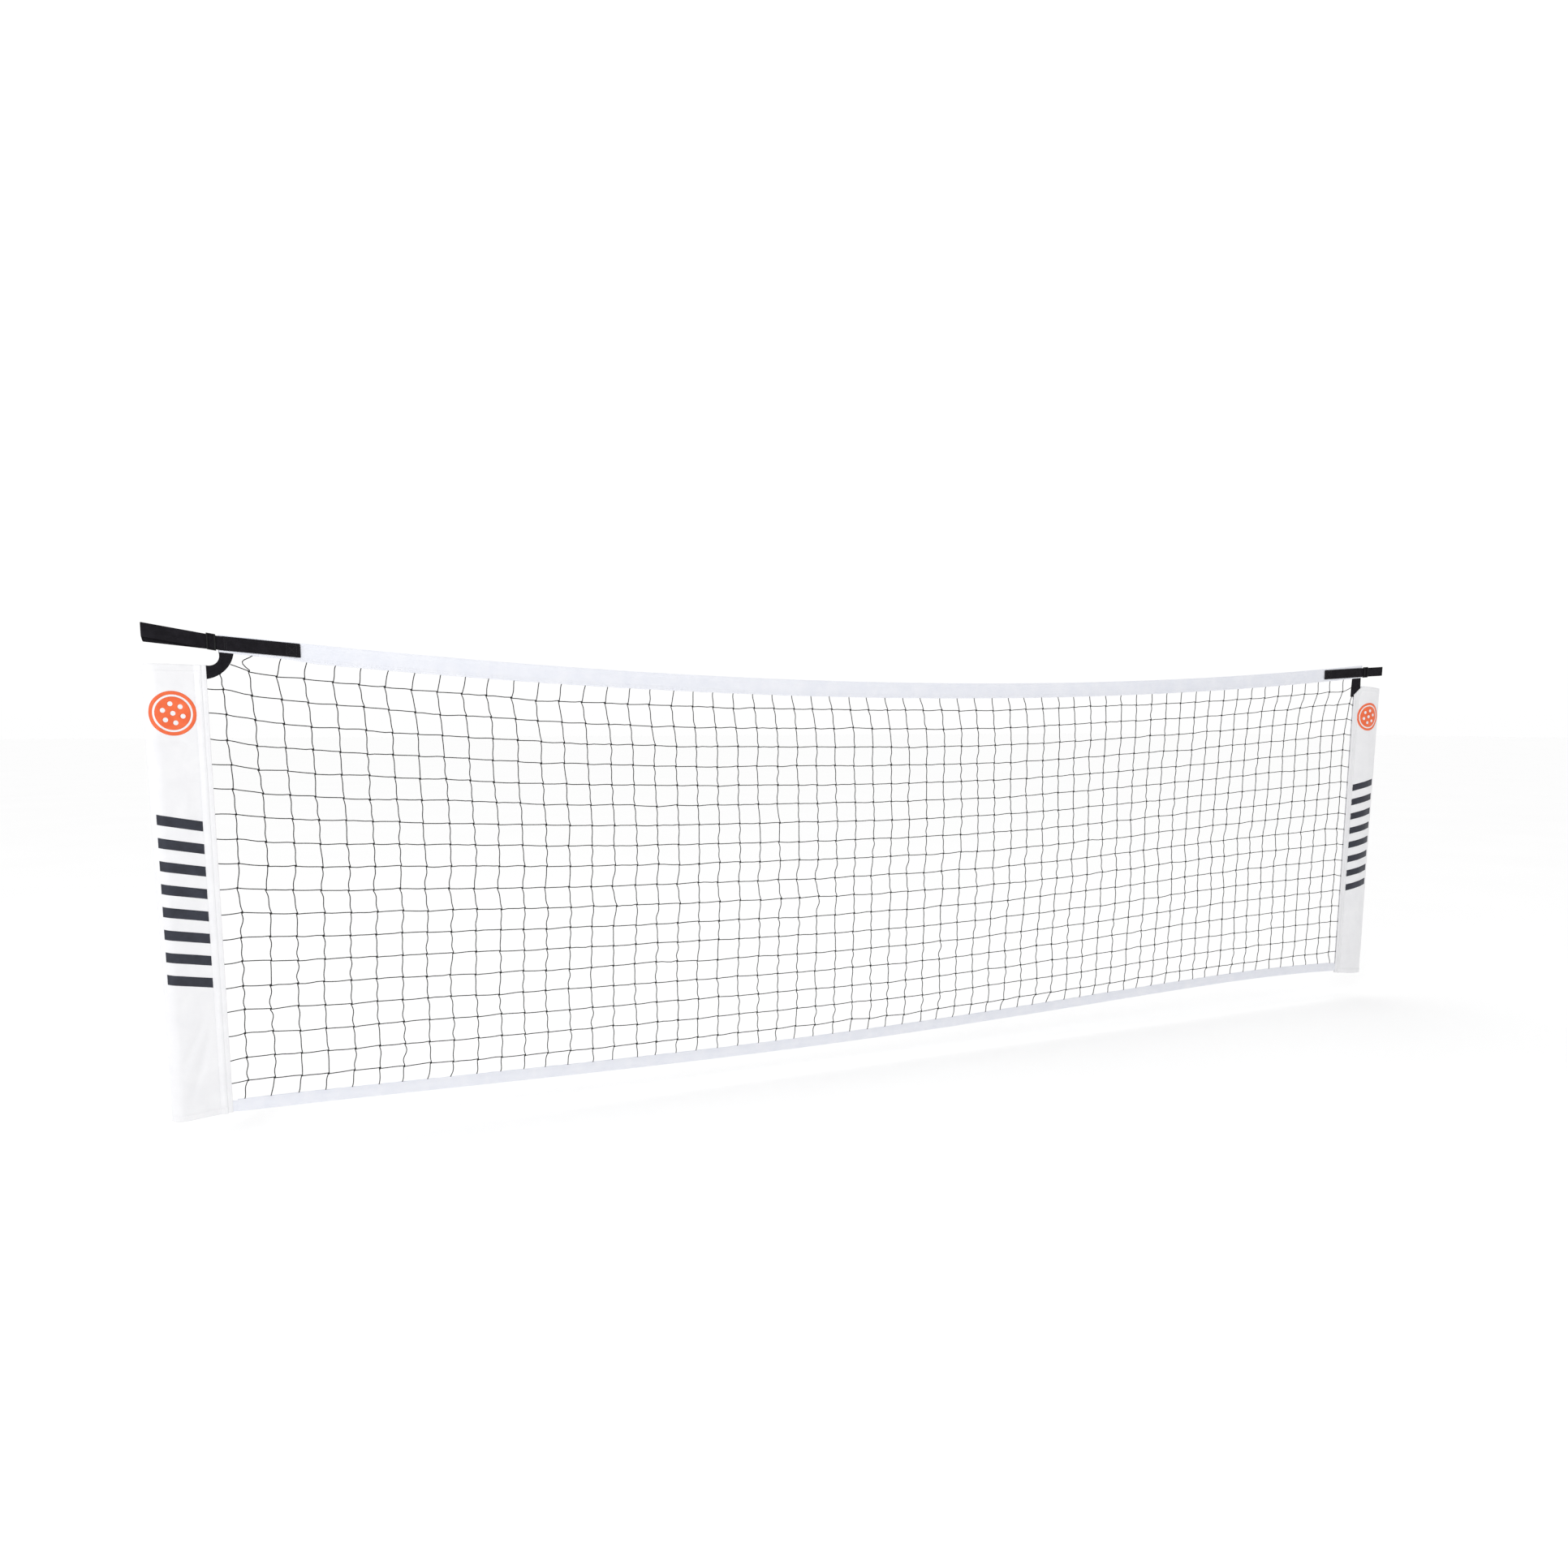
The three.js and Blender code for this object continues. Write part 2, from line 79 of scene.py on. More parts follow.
def edge_curve(node, pick, degree):
    """A smooth curve through the upper (pick=max) or lower (pick=min) edge of a strip that runs along X."""
    points = node_points(node)
    stations = np.unique(points[:, 0].round(1))
    heights = [pick(points[abs(points[:, 0] - x) < 0.1, 2]) for x in stations]
    return np.polynomial.Polynomial.fit(stations, heights, degree)


JOINTS = {j["name"]: j for j in frame["joints"]}
FOLD_X = abs(JOINTS["left_sleeve_fold"]["pos_m"][0]) / MM
top_edge = edge_curve("top_tape", max, 2)
bottom_edge = edge_curve("bottom_tape", min, 6)
TOP_TAPE_LOW, TOP_TAPE_HIGH = box_mm("top_tape")
BOTTOM_TAPE_LOW, BOTTOM_TAPE_HIGH = box_mm("bottom_tape")
TOP_TAPE_HEIGHT = 34
BOTTOM_TAPE_HEIGHT = 23


# ------------------------------------------------------------------ camera, floor and light

ROOM_LIGHT = 0.46
SKY_LIGHT = 0.36
FLOOR_REACH_M = 60
FLOOR_HEIGHT_M = -0.075


def add_object(name, data):
    made = bpy.data.objects.new(name, data)
    bpy.context.scene.collection.objects.link(made)
    return made


def make_camera():
    data = bpy.data.cameras.new("camera")
    data.lens = 25.528
    data.sensor_width = 36
    data.shift_x = 0.02408
    data.shift_y = 0.05328
    data.clip_start = 0.05
    camera = add_object("camera", data)
    camera.location = (-1.35021, -2.16833, 0.70669)
    camera.rotation_euler = (math.radians(90 - 7.441), 0, math.radians(-23.634))
    bpy.context.scene.camera = camera


def add_area_light(name, place, aim, size, power):
    data = bpy.data.lights.new(name, "AREA")
    data.shape = "DISK"
    data.size = size
    data.energy = power
    lamp = add_object(name, data)
    lamp.location = place
    lamp.rotation_euler = (Vector(aim) - Vector(place)).to_track_quat("-Z", "Y").to_euler()


def make_world():
    """Studio air: white behind the net and overhead, dimmer on the camera's side, so that cloth shades."""
    world = bpy.data.worlds.new("studio")
    world.use_nodes = True
    tree = world.node_tree
    heading = node(tree, "ShaderNodeSeparateXYZ")
    tree.links.new(node(tree, "ShaderNodeTexCoord").outputs["Generated"], heading.inputs[0])
    behind = node(
        tree, "ShaderNodeMapRange", interpolation_type="SMOOTHSTEP",
        inputs={"From Min": -0.5, "From Max": 0.35, "To Min": ROOM_LIGHT, "To Max": 1.0},
    )
    tree.links.new(heading.outputs["Y"], behind.inputs["Value"])
    overhead = math_node(tree, "MULTIPLY", math_node(tree, "MAXIMUM", heading.outputs["Z"], 0.0), SKY_LIGHT)
    total = math_node(tree, "ADD", behind.outputs[0], overhead)
    background = tree.nodes["Background"]
    background.inputs["Color"].default_value = (1, 1, 1, 1)
    tree.links.new(total, background.inputs["Strength"])
    bpy.context.scene.world = world


def make_stage():
    bpy.context.scene.view_settings.view_transform = "Standard"
    floor_mesh = bpy.data.meshes.new("floor")
    signs = (-1, -1), (1, -1), (1, 1), (-1, 1)
    corners = [(x * FLOOR_REACH_M, y * FLOOR_REACH_M, FLOOR_HEIGHT_M) for x, y in signs]
    floor_mesh.from_pydata(corners, [], [(0, 1, 2, 3)])
    floor_mesh.materials.append(floor_material())
    add_object("floor", floor_mesh)
    add_area_light("key", (-3.0, -3.2, 2.4), (-1.2, 0, 0.4), 1.8, 44)


# ------------------------------------------------------------------ materials


def new_material(name, roughness, sheen=0.0):
    """A material, its node tree and its Principled node."""
    material = bpy.data.materials.new(name)
    material.use_nodes = True
    tree = material.node_tree
    shader = tree.nodes["Principled BSDF"]
    shader.inputs["Roughness"].default_value = roughness
    if sheen:
        shader.inputs["Sheen Weight"].default_value = sheen
    return material, tree, shader


def node(tree, kind, **sockets):
    """A node with its settings: names are properties, and those in the dict `inputs` are sockets."""
    made = tree.nodes.new(kind)
    for name, value in sockets.pop("inputs", {}).items():
        made.inputs[name].default_value = value
    for name, value in sockets.items():
        setattr(made, name, value)
    return made


def math_node(tree, operation, a, b=None, c=None):
    made = node(tree, "ShaderNodeMath", operation=operation)
    for slot, value in enumerate((a, b, c)):
        if value is None:
            continue
        if isinstance(value, (int, float)):
            made.inputs[slot].default_value = value
        else:
            tree.links.new(value, made.inputs[slot])
    return made.outputs[0]


def uv_axes(tree):
    """The two lengths in mm along a piece, from its UV map."""
    coordinates = node(tree, "ShaderNodeTexCoord")
    split = node(tree, "ShaderNodeSeparateXYZ")
    tree.links.new(coordinates.outputs["UV"], split.inputs[0])
    return (
        math_node(tree, "MULTIPLY", split.outputs[0], 1000.0),
        math_node(tree, "MULTIPLY", split.outputs[1], 1000.0),
    )


def wave(tree, length, pitch):
    """sin of a length with that pitch, both in mm."""
    return math_node(tree, "SINE", math_node(tree, "MULTIPLY", length, TAU / pitch))


def noise(tree, scale, detail=2.0, rough=0.5):
    """Noise in the object's own space: scale is bumps per metre."""
    coordinates = node(tree, "ShaderNodeTexCoord")
    made = node(
        tree, "ShaderNodeTexNoise", inputs={"Scale": scale, "Detail": detail, "Roughness": rough}
    )
    tree.links.new(coordinates.outputs["Object"], made.inputs["Vector"])
    return made.outputs["Fac"]


def colour_between(tree, shader, factor, low, high, span=(0.3, 0.7)):
    ramp = node(tree, "ShaderNodeValToRGB")
    ramp.color_ramp.elements[0].position, ramp.color_ramp.elements[1].position = span
    ramp.color_ramp.elements[0].color = (*low, 1)
    ramp.color_ramp.elements[1].color = (*high, 1)
    tree.links.new(factor, ramp.inputs[0])
    tree.links.new(ramp.outputs[0], shader.inputs["Base Color"])


def roughness_between(tree, shader, factor, low, high):
    made = node(tree, "ShaderNodeMapRange", inputs={"To Min": low, "To Max": high})
    tree.links.new(factor, made.inputs["Value"])
    tree.links.new(made.outputs[0], shader.inputs["Roughness"])


def bump(tree, shader, height, distance_mm, strength=1.0):
    made = node(
        tree, "ShaderNodeBump", inputs={"Strength": strength, "Distance": distance_mm * MM}
    )
    tree.links.new(height, made.inputs["Height"])
    tree.links.new(made.outputs[0], shader.inputs["Normal"])


def plain_weave(tree, pitch):
    """Height of a plain weave: warp and weft pass over each other in turn."""
    u, v = uv_axes(tree)
    crossing = math_node(tree, "MULTIPLY", wave(tree, u, pitch), wave(tree, v, pitch))
    threads = math_node(tree, "ADD", wave(tree, u, pitch / 2), wave(tree, v, pitch / 2))
    return math_node(tree, "MULTIPLY_ADD", threads, 0.25, crossing)


def fabric_material(name, low, high, pitch, roughness):
    """Woven polyester: a weave, slight mottling and a soft sheen."""
    material, tree, shader = new_material(name, sum(roughness) / 2, sheen=0.12)
    mottle = noise(tree, 26, 5.0, 0.6)
    colour_between(tree, shader, mottle, low, high)
    roughness_between(tree, shader, noise(tree, 90, 3.0), *roughness)
    fuzz = noise(tree, 1400, 2.0)
    bump(tree, shader, math_node(tree, "MULTIPLY_ADD", fuzz, 0.8, plain_weave(tree, pitch)), 0.035, 0.7)
    return material


def twine_material(name, low, high, pitch, strands):
    """Twisted twine: strands wind round it once every pitch mm."""
    material, tree, shader = new_material(name, 0.6)
    u, v = uv_axes(tree)
    turns = math_node(tree, "MULTIPLY_ADD", v, 1 / pitch, u)
    lay = math_node(tree, "SINE", math_node(tree, "MULTIPLY", turns, TAU * strands))
    colour_between(tree, shader, math_node(tree, "MULTIPLY_ADD", lay, 0.3, noise(tree, 60, 3.0)), low, high)
    roughness_between(tree, shader, noise(tree, 300, 2.0), 0.5, 0.75)
    bump(tree, shader, math_node(tree, "MULTIPLY_ADD", noise(tree, 2600, 2.0), 0.5, lay), 0.22, 0.9)
    return material


def braid_material(name, low, high, pitch):
    """Braided cord: two sets of strands cross diagonally."""
    material, tree, shader = new_material(name, 0.7)
    coordinates = node(tree, "ShaderNodeTexCoord")
    split = node(tree, "ShaderNodeSeparateXYZ")
    tree.links.new(coordinates.outputs["Object"], split.inputs[0])
    x, y, z = (math_node(tree, "MULTIPLY", o, 1000.0) for o in split.outputs)
    along = math_node(tree, "ADD", x, z)
    one = wave(tree, math_node(tree, "MULTIPLY_ADD", y, 1.6, along), pitch)
    other = wave(tree, math_node(tree, "MULTIPLY_ADD", y, -1.6, along), pitch)
    strands = math_node(tree, "MAXIMUM", one, other)
    colour_between(tree, shader, strands, low, high, (0.1, 0.9))
    bump(tree, shader, strands, 0.25, 0.8)
    return material


RIB_PITCH = 1.55


def webbing_material(name, low, high):
    """Heavy woven webbing: a herringbone of diagonal floats in lengthwise ribs."""
    material, tree, shader = new_material(name, 0.7)
    shader.inputs["Specular IOR Level"].default_value = 0.06
    u, v = uv_axes(tree)
    rib = math_node(tree, "PINGPONG", v, RIB_PITCH)
    diagonal = wave(tree, math_node(tree, "MULTIPLY_ADD", rib, 1.1, u), 0.95)
    ribs = wave(tree, v, RIB_PITCH)
    weave = math_node(tree, "MULTIPLY_ADD", ribs, 0.6, diagonal)
    mottled = math_node(tree, "MULTIPLY_ADD", diagonal, 0.18, noise(tree, 70, 4.0, 0.65))
    colour_between(tree, shader, mottled, low, high)
    roughness_between(tree, shader, noise(tree, 500, 3.0), 0.55, 0.85)
    bump(tree, shader, math_node(tree, "MULTIPLY_ADD", noise(tree, 2200, 2.0), 0.7, weave), 0.16, 0.9)
    return material


def plastic_material(name, low, high):
    """Moulded acetal: satin, with a fine spark-eroded grain and lighter rubbed patches."""
    material, tree, shader = new_material(name, 0.5)
    shader.inputs["Specular IOR Level"].default_value = 0.22
    colour_between(tree, shader, noise(tree, 160, 4.0, 0.7), low, high)
    roughness_between(tree, shader, noise(tree, 420, 3.0), 0.4, 0.6)
    bump(tree, shader, noise(tree, 3200, 2.0), 0.05, 0.5)
    return material


def print_material(name, low, high, roughness):
    """Screen print: a thin ink film that still shows the weave below."""
    material, tree, shader = new_material(name, sum(roughness) / 2)
    colour_between(tree, shader, noise(tree, 45, 5.0, 0.65), low, high)
    roughness_between(tree, shader, noise(tree, 260, 3.0), *roughness)
    bump(tree, shader, plain_weave(tree, 0.9), 0.02, 0.5)
    return material


def floor_material():
    material, tree, shader = new_material("pale_floor", 0.9)
    colour_between(tree, shader, noise(tree, 1.5, 2.0), (0.98, 0.98, 0.98), (0.99, 0.99, 0.99))
    shader.inputs["Specular IOR Level"].default_value = 0.0
    return material


SLOTS = {
    "sleeve_fabric": (fabric_material, (0.88, 0.88, 0.90), (0.925, 0.925, 0.94), 0.9, (0.5, 0.68)),
    "tape_fabric": (fabric_material, (0.82, 0.84, 0.91), (0.89, 0.90, 0.95), 0.7, (0.48, 0.66)),
    "mesh_twine": (twine_material, (0.003, 0.003, 0.0035), (0.010, 0.010, 0.011), 7.0, 3),
    "border_cord": (braid_material, (0.01, 0.01, 0.012), (0.04, 0.04, 0.045), 3.0),
    "black_webbing": (webbing_material, (0.011, 0.0102, 0.0125), (0.022, 0.0205, 0.0255)),
    "black_plastic": (plastic_material, (0.004, 0.004, 0.0045), (0.010, 0.010, 0.011)),
    "black_thread": (twine_material, (0.012, 0.012, 0.014), (0.05, 0.048, 0.055), 1.4, 2),
    "white_thread": (twine_material, (0.82, 0.83, 0.87), (0.92, 0.92, 0.95), 1.4, 2),
    "orange_print": (print_material, (0.86, 0.125, 0.032), (0.97, 0.18, 0.055), (0.4, 0.55)),
    "navy_print": (print_material, (0.010, 0.012, 0.022), (0.024, 0.028, 0.046), (0.38, 0.52)),
}
MATERIALS = {slot: make(slot, *values) for slot, (make, *values) in SLOTS.items()}


# ------------------------------------------------------------------ mesh building


def xyz(x, y, z):
    return np.stack(np.broadcast_arrays(x, y, z), axis=-1)


def unit(vectors):
    return vectors / np.maximum(np.linalg.norm(vectors, axis=-1, keepdims=True), 1e-9)


def make_piece(name, parts, slot):
    """One object from (points, faces, uv) parts. faces and uv are lists, one entry for each face size."""
    points, faces, uvs, start = [], [], [], 0
    for part_points, part_faces, part_uvs in parts:
        points.append(part_points)
        for these_faces, these_uvs in zip(part_faces, part_uvs):
            faces.extend((these_faces + start).tolist())
            uvs.append(these_uvs.reshape(-1, 2))
        start += len(part_points)
    mesh = bpy.data.meshes.new(name)
    mesh.from_pydata((np.concatenate(points) * MM).tolist(), [], faces)
    layer = mesh.uv_layers.new(name="length")
    layer.data.foreach_set("uv", (np.concatenate(uvs) * MM).astype(np.float32).ravel())
    mesh.shade_smooth()
    mesh.update()
    mesh.materials.append(MATERIALS[slot])
    piece = add_object(name, mesh)
    return piece


def shell(surface, thickness):
    """A closed sheet of that thickness round a grid of points (rows, columns, 3), with rounded rims."""
    surface = np.asarray(surface, float)
    rows, columns = surface.shape[:2]
    down, across = np.gradient(surface, axis=0), np.gradient(surface, axis=1)
    down, across = unit(down), unit(across)
    normal = unit(np.cross(down, across))
    half = np.broadcast_to(np.asarray(thickness, float) / 2, (rows, columns))[..., None]
    outward = np.zeros_like(surface)
    outward[0] -= down[0]
    outward[-1] += down[-1]
    outward[:, 0] -= across[:, 0]
    outward[:, -1] += across[:, -1]
    rim = surface + 0.8 * half * unit(outward)

    lengths = np.linalg.norm(np.diff(surface, axis=0), axis=2).mean(1)
    widths = np.linalg.norm(np.diff(surface, axis=1), axis=2).mean(0)
    u = np.concatenate([[0], np.cumsum(lengths)])
    v = np.concatenate([[0], np.cumsum(widths)])
    flat_uv = np.stack(np.meshgrid(u, v, indexing="ij"), axis=-1).reshape(-1, 2)

    index = np.arange(rows * columns).reshape(rows, columns)
    border = np.concatenate([index[0], index[1:, -1], index[-1, -2::-1], index[-2:0:-1, 0]])
    after = np.roll(border, -1)
    count = rows * columns
    rim_at = 2 * count + np.arange(len(border))
    rim_after = np.roll(rim_at, -1)
    face = np.stack([index[:-1, :-1], index[1:, :-1], index[1:, 1:], index[:-1, 1:]], axis=-1).reshape(-1, 4)
    quads = np.concatenate([
        face,
        face[:, ::-1] + count,
        np.stack([border, after, rim_after, rim_at], axis=1),
        np.stack([rim_at, rim_after, after + count, border + count], axis=1),
    ])
    points = np.concatenate([
        (surface + half * normal).reshape(-1, 3),
        (surface - half * normal).reshape(-1, 3),
        rim.reshape(-1, 3)[border],
    ])
    uv = np.concatenate([flat_uv, flat_uv, flat_uv[border]])
    return points, [quads], [uv[quads]]


def tubes(paths, radius, sides, up=(0, 1, 0)):
    """Closed tubes round many paths, (tubes, points, 3), at once. UV is turns round them and length."""
    paths = np.asarray(paths, float)
    count, steps = paths.shape[:2]
    ahead = unit(np.gradient(paths, axis=1))
    side = unit(np.cross(ahead, np.broadcast_to(up, ahead.shape)))
    lift = np.cross(side, ahead)
    angle = TAU * np.arange(sides) / sides
    ring = np.cos(angle)[:, None] * side[:, :, None] + np.sin(angle)[:, None] * lift[:, :, None]
    radius = np.broadcast_to(radius, (count, steps))[..., None, None]
    skin = (paths[:, :, None] + radius * ring).reshape(-1, 3)
    points = np.concatenate([skin, paths[:, 0], paths[:, -1]])

    index = np.arange(len(skin)).reshape(count, steps, sides)
    turned = np.roll(index, -1, axis=2)
    quads = np.stack([index[:, :-1], index[:, 1:], turned[:, 1:], turned[:, :-1]], axis=-1)
    length = np.concatenate(
        [np.zeros((count, 1)), np.cumsum(np.linalg.norm(np.diff(paths, axis=1), axis=2), axis=1)], axis=1
    )
    turn = np.arange(sides + 1) / sides
    quad_uv = np.empty(quads.shape + (2,))
    quad_uv[..., 0] = np.stack([turn[:-1], turn[:-1], turn[1:], turn[1:]], axis=-1)
    near, far = length[:, :-1, None], length[:, 1:, None]
    quad_uv[..., 1] = np.stack([near, far, far, near], axis=-1)

    first, last = len(skin) + np.arange(count), len(skin) + count + np.arange(count)
    start_caps = np.stack([np.repeat(first[:, None], sides, 1), index[:, 0], turned[:, 0]], axis=-1)
    end_caps = np.stack([np.repeat(last[:, None], sides, 1), turned[:, -1], index[:, -1]], axis=-1)
    tris = np.concatenate([start_caps.reshape(-1, 3), end_caps.reshape(-1, 3)])
    return points, [quads.reshape(-1, 4), tris], [quad_uv.reshape(-1, 4, 2), np.zeros((len(tris), 3, 2))]


def ripples(seed, wavelength, waves=14):
    """A smooth random function of two lengths, mostly within -1 and 1: bumps about a wavelength apart."""
    draw = np.random.default_rng(seed)
    heading = draw.uniform(0, TAU, waves)
    size = TAU / (wavelength * draw.uniform(0.75, 1.7, waves))
    phase = draw.uniform(0, TAU, waves)

    def height(u, v):
        total = 0
        for turn, rate, shift in zip(heading, size, phase):
            total = total + np.sin(rate * (u * np.cos(turn) + v * np.sin(turn)) + shift)
        return total / math.sqrt(waves)

    return height


def smooth_step(x):
    x = np.clip(x, 0, 1)
    return x * x * (3 - 2 * x)


def lengths_along(points):
    """Length of a line up to each of its points."""
    return np.concatenate([[0], np.cumsum(np.linalg.norm(np.diff(points, axis=0), axis=1))])


STITCH_PITCH, STITCH_GAP = 4.2, 0.7
STITCH_RADIUS, STITCH_RISE = 0.2, 0.22


def stitches(place, starts, ends, radius=STITCH_RADIUS, rise=STITCH_RISE):
    """Stitches from starts to ends, both (n, 2), on a surface: place(u, v, lift) gives points off it."""
    t = np.array([0.0, 0.22, 0.5, 0.78, 1.0])
    lift = radius * np.array([-1.6, 0.4, 0.9, 0.4, -1.6]) + rise
    u = starts[:, :1] + (ends - starts)[:, :1] * t
    v = starts[:, 1:] + (ends - starts)[:, 1:] * t
    paths = place(u, v, np.broadcast_to(lift, u.shape))
    across = unit(place(u[:, 2], v[:, 2], 1.0) - place(u[:, 2], v[:, 2], 0.0))
    return tubes(paths, radius * np.array([0.7, 1, 1.1, 1, 0.7]), 5, across[:, None])


def stitch_line(
    place, start, end, pitch=STITCH_PITCH, gap=STITCH_GAP, radius=STITCH_RADIUS, rise=STITCH_RISE
):
    """A line of stitches between two points (u, v) of a surface."""
    start, end = np.array(start, float), np.array(end, float)
    count = max(2, round(np.linalg.norm(end - start) / pitch))
    at = np.arange(count)[:, None] / count
    step = (end - start) / count
    share = 1 - gap / (np.linalg.norm(end - start) / count)
    begins = start + at * (end - start) + step * (1 - share) / 2
    return stitches(place, begins, begins + step * share, radius, rise)


def lifted(surface, outward=1):
    """place(u, v, lift) for a surface(u, v): lift is the distance off it, outward if that sign is right."""

    def place(u, v, lift):
        u, v = np.asarray(u, float), np.asarray(v, float)
        step = 0.5
        down = surface(u + step, v) - surface(u - step, v)
        across = surface(u, v + step) - surface(u, v - step)
        return surface(u, v) + outward * np.asarray(lift)[..., None] * unit(np.cross(down, across))

    return place


def grid(surface, us, vs):
    u, v = np.meshgrid(us, vs, indexing="ij")
    return surface(u, v)


def steps_between(start, end, spacing):
    return np.linspace(start, end, max(2, round(abs(end - start) / spacing) + 1))


# ------------------------------------------------------------------ the knotted mesh

COLUMNS, ROWS = 61, 18
LAST_COLUMN_X = 1397
TWINE_RADIUS = 0.9
TWINE_SIDES = 7
KNOT_REACH = 2.2
KNOT_STAGGER = 0.7
KNOT_SCATTER = 1.0
ROW_SCATTER = 1.7
TWINE_TUCK = 6


def along_net(x, *values):
    """A value at x, from values at evenly spaced places from the left end of the net to the right."""
    places = np.linspace(-1400, 1400, len(values))
    return np.interp(x, places, values)


# How the mesh hangs, in mm, each at even steps from the net's left end to its right end. The first two rows
# are measured, the three LIFT rows are a fit to measured knots, and the others were chosen to suit them.
FIRST_ROW_BELOW_TAPE = (30, 30, 33, 32, 28, 27, 28, 24, 26, 26, 30)
LAST_ROW_HEIGHT = (57, 49, 41, 36, 34, 32, 39, 46, 58, 60, 62)
LIFT_HIGH = (1, 0, -2, 0, -2, 2, 5, 10)
LIFT_MIDDLE = (3, 6, 5, 3, 3, 2, 6, 7)
LIFT_LOW = (-1, 1, 1, -3, -5, -2, -1, -1)
COLUMN_SHIFT = (0, -3, -2, 1, 5, 6, -1)
COLUMN_PULL = (-6, -8, -9, -12, -6, 8, 33)
COLUMN_BOW = (6, 6, 5, 4, 1, 1, 1)
LEAN_UP = (6, 9, 9, 6, -6, -9, -8, -1, 4, 5, -2)
LEAN_DOWN = (-9, -8, -5, -4, -12, -13, -8, -7, 5)


def knot_places():
    """Centres of the knots, (rows, columns, 3), from the top left."""
    draw = np.random.default_rng(11)
    x = np.linspace(-LAST_COLUMN_X, LAST_COLUMN_X, COLUMNS)[None].repeat(ROWS, 0)
    row = np.arange(ROWS)[:, None]
    share = row / (ROWS - 1)
    # The left corner's strap holds the first row up there.
    held_up = 13 * np.exp(-(x + 1400) / 60)
    top = top_edge(x) - TOP_TAPE_HEIGHT - along_net(x, *FIRST_ROW_BELOW_TAPE) + held_up
    z = top + (along_net(x, *LAST_ROW_HEIGHT) - top) * share
    # The rows between aren't evenly spaced: they are lifted most just below the tape at the right end.
    z = z + along_net(x, *LIFT_HIGH) * (np.exp(-row / 5) - np.exp(-row / 0.7))
    z = z + along_net(x, *LIFT_MIDDLE) * 4 * share * (1 - share)
    z = z + along_net(x, *LIFT_LOW) * 9.5 * share**3 * (1 - share)
    # The tape pulls the first rows sideways, and the columns hang in a slight bow below it.
    pull = along_net(x, *COLUMN_PULL) * np.exp(-row / 1.2)
    bow = along_net(x, *COLUMN_BOW) * np.sin(math.pi * np.minimum(row, 15) / 15) ** 2
    shifted = x + along_net(x, *COLUMN_SHIFT) + pull + bow
    shifted = shifted + draw.normal(0, ROW_SCATTER, (ROWS, 1)) * smooth_step(row / 3)
    scatter = draw.normal(0, KNOT_SCATTER, (2, ROWS, COLUMNS))
    slack = smooth_step(np.minimum(row, ROWS - 1 - row) / 6)
    y = 3.2 * ripples(23, 500)(x, z) * slack * smooth_step((FOLD_X - abs(x)) / 120)
    return np.stack([shifted + scatter[0], y, z + 0.8 * scatter[1]], axis=-1)


def twine_path(stops, wander, seed, steps):
    """A path through (places, 3) stops with knots at all but the first and last; wander is (segments, 2)."""
    draw = np.random.default_rng(seed)
    path = []
    t = np.linspace(0, 1, steps)[:, None]
    for k in range(len(stops) - 1):
        start, end = stops[k], stops[k + 1]
        ahead = unit(end - start)
        sideways = np.array([ahead[2], 0, -ahead[0]])
        a = start + (KNOT_REACH * ahead + KNOT_STAGGER * sideways if k else 0)
        b = end - (KNOT_REACH * ahead + KNOT_STAGGER * sideways if k < len(stops) - 2 else 0)
        bow, sway = wander[k]
        curve = bow * np.sin(math.pi * t) + sway * np.sin(TAU * t)
        line = a + (b - a) * t + curve * sideways
        line[:, 1] += draw.normal(0, 0.4) * np.sin(math.pi * t[:, 0])
        path.append(line)
    return np.concatenate(path)


def row_twine(knots, r):
    """Level twine number r, from its first knot to its last."""
    draw = np.random.default_rng(100 + r)
    stops = knots[r].copy()
    if r == 0:
        stops[0] = CORNER_HOLDS[LEFT][0]
        stops[-1] = CORNER_HOLDS[RIGHT][0]
    wander = draw.normal((0.25, -0.15), (0.35, 0.3), (COLUMNS - 1, 2))
    return twine_path(stops, wander, 300 + r, 5)


def column_twine(knots, c):
    """Upright twine number c, from inside the top tape to inside the bottom tape."""
    draw = np.random.default_rng(200 + c)
    stops = list(knots[:, c])
    x = stops[1][0]
    lean_up = along_net(x, *LEAN_UP) + draw.normal(0, 1.5)
    lean_down = along_net(x, *LEAN_DOWN) + draw.normal(0, 2)
    if c in (0, COLUMNS - 1):
        side = LEFT if c == 0 else RIGHT
        hold = CORNER_HOLDS[side][1]
        stops[0] = hold
        above = hold + np.array([0, 0, TWINE_TUCK])
    else:
        attach = stops[0][0] + lean_up
        above = np.array([attach, 0, top_edge(attach) - TOP_TAPE_HEIGHT + TWINE_TUCK])
    below_x = stops[-1][0] + lean_down
    below = np.array([below_x, 0, bottom_edge(below_x) + BOTTOM_TAPE_HEIGHT - TWINE_TUCK])
    stops = np.array([above, *stops, below])
    depth = np.linspace(0, 1, len(stops) - 1)
    looseness = 0.6 + 0.7 * depth + 0.3 * math.exp(-((x - 250) / 700) ** 2)
    wander = np.stack([
        draw.normal(-0.2, 0.45, len(depth)) * looseness,
        draw.normal(-1.1, 0.45, len(depth)) * looseness,
    ], axis=1)
    wander[0] = (13, -4) if c == 1 else draw.normal((1.2, 0.4), (0.8, 0.5))
    wander[-1] = draw.normal((-2.0, 0.9), (1.4, 0.7))
    return twine_path(stops, wander, 400 + c, 9)


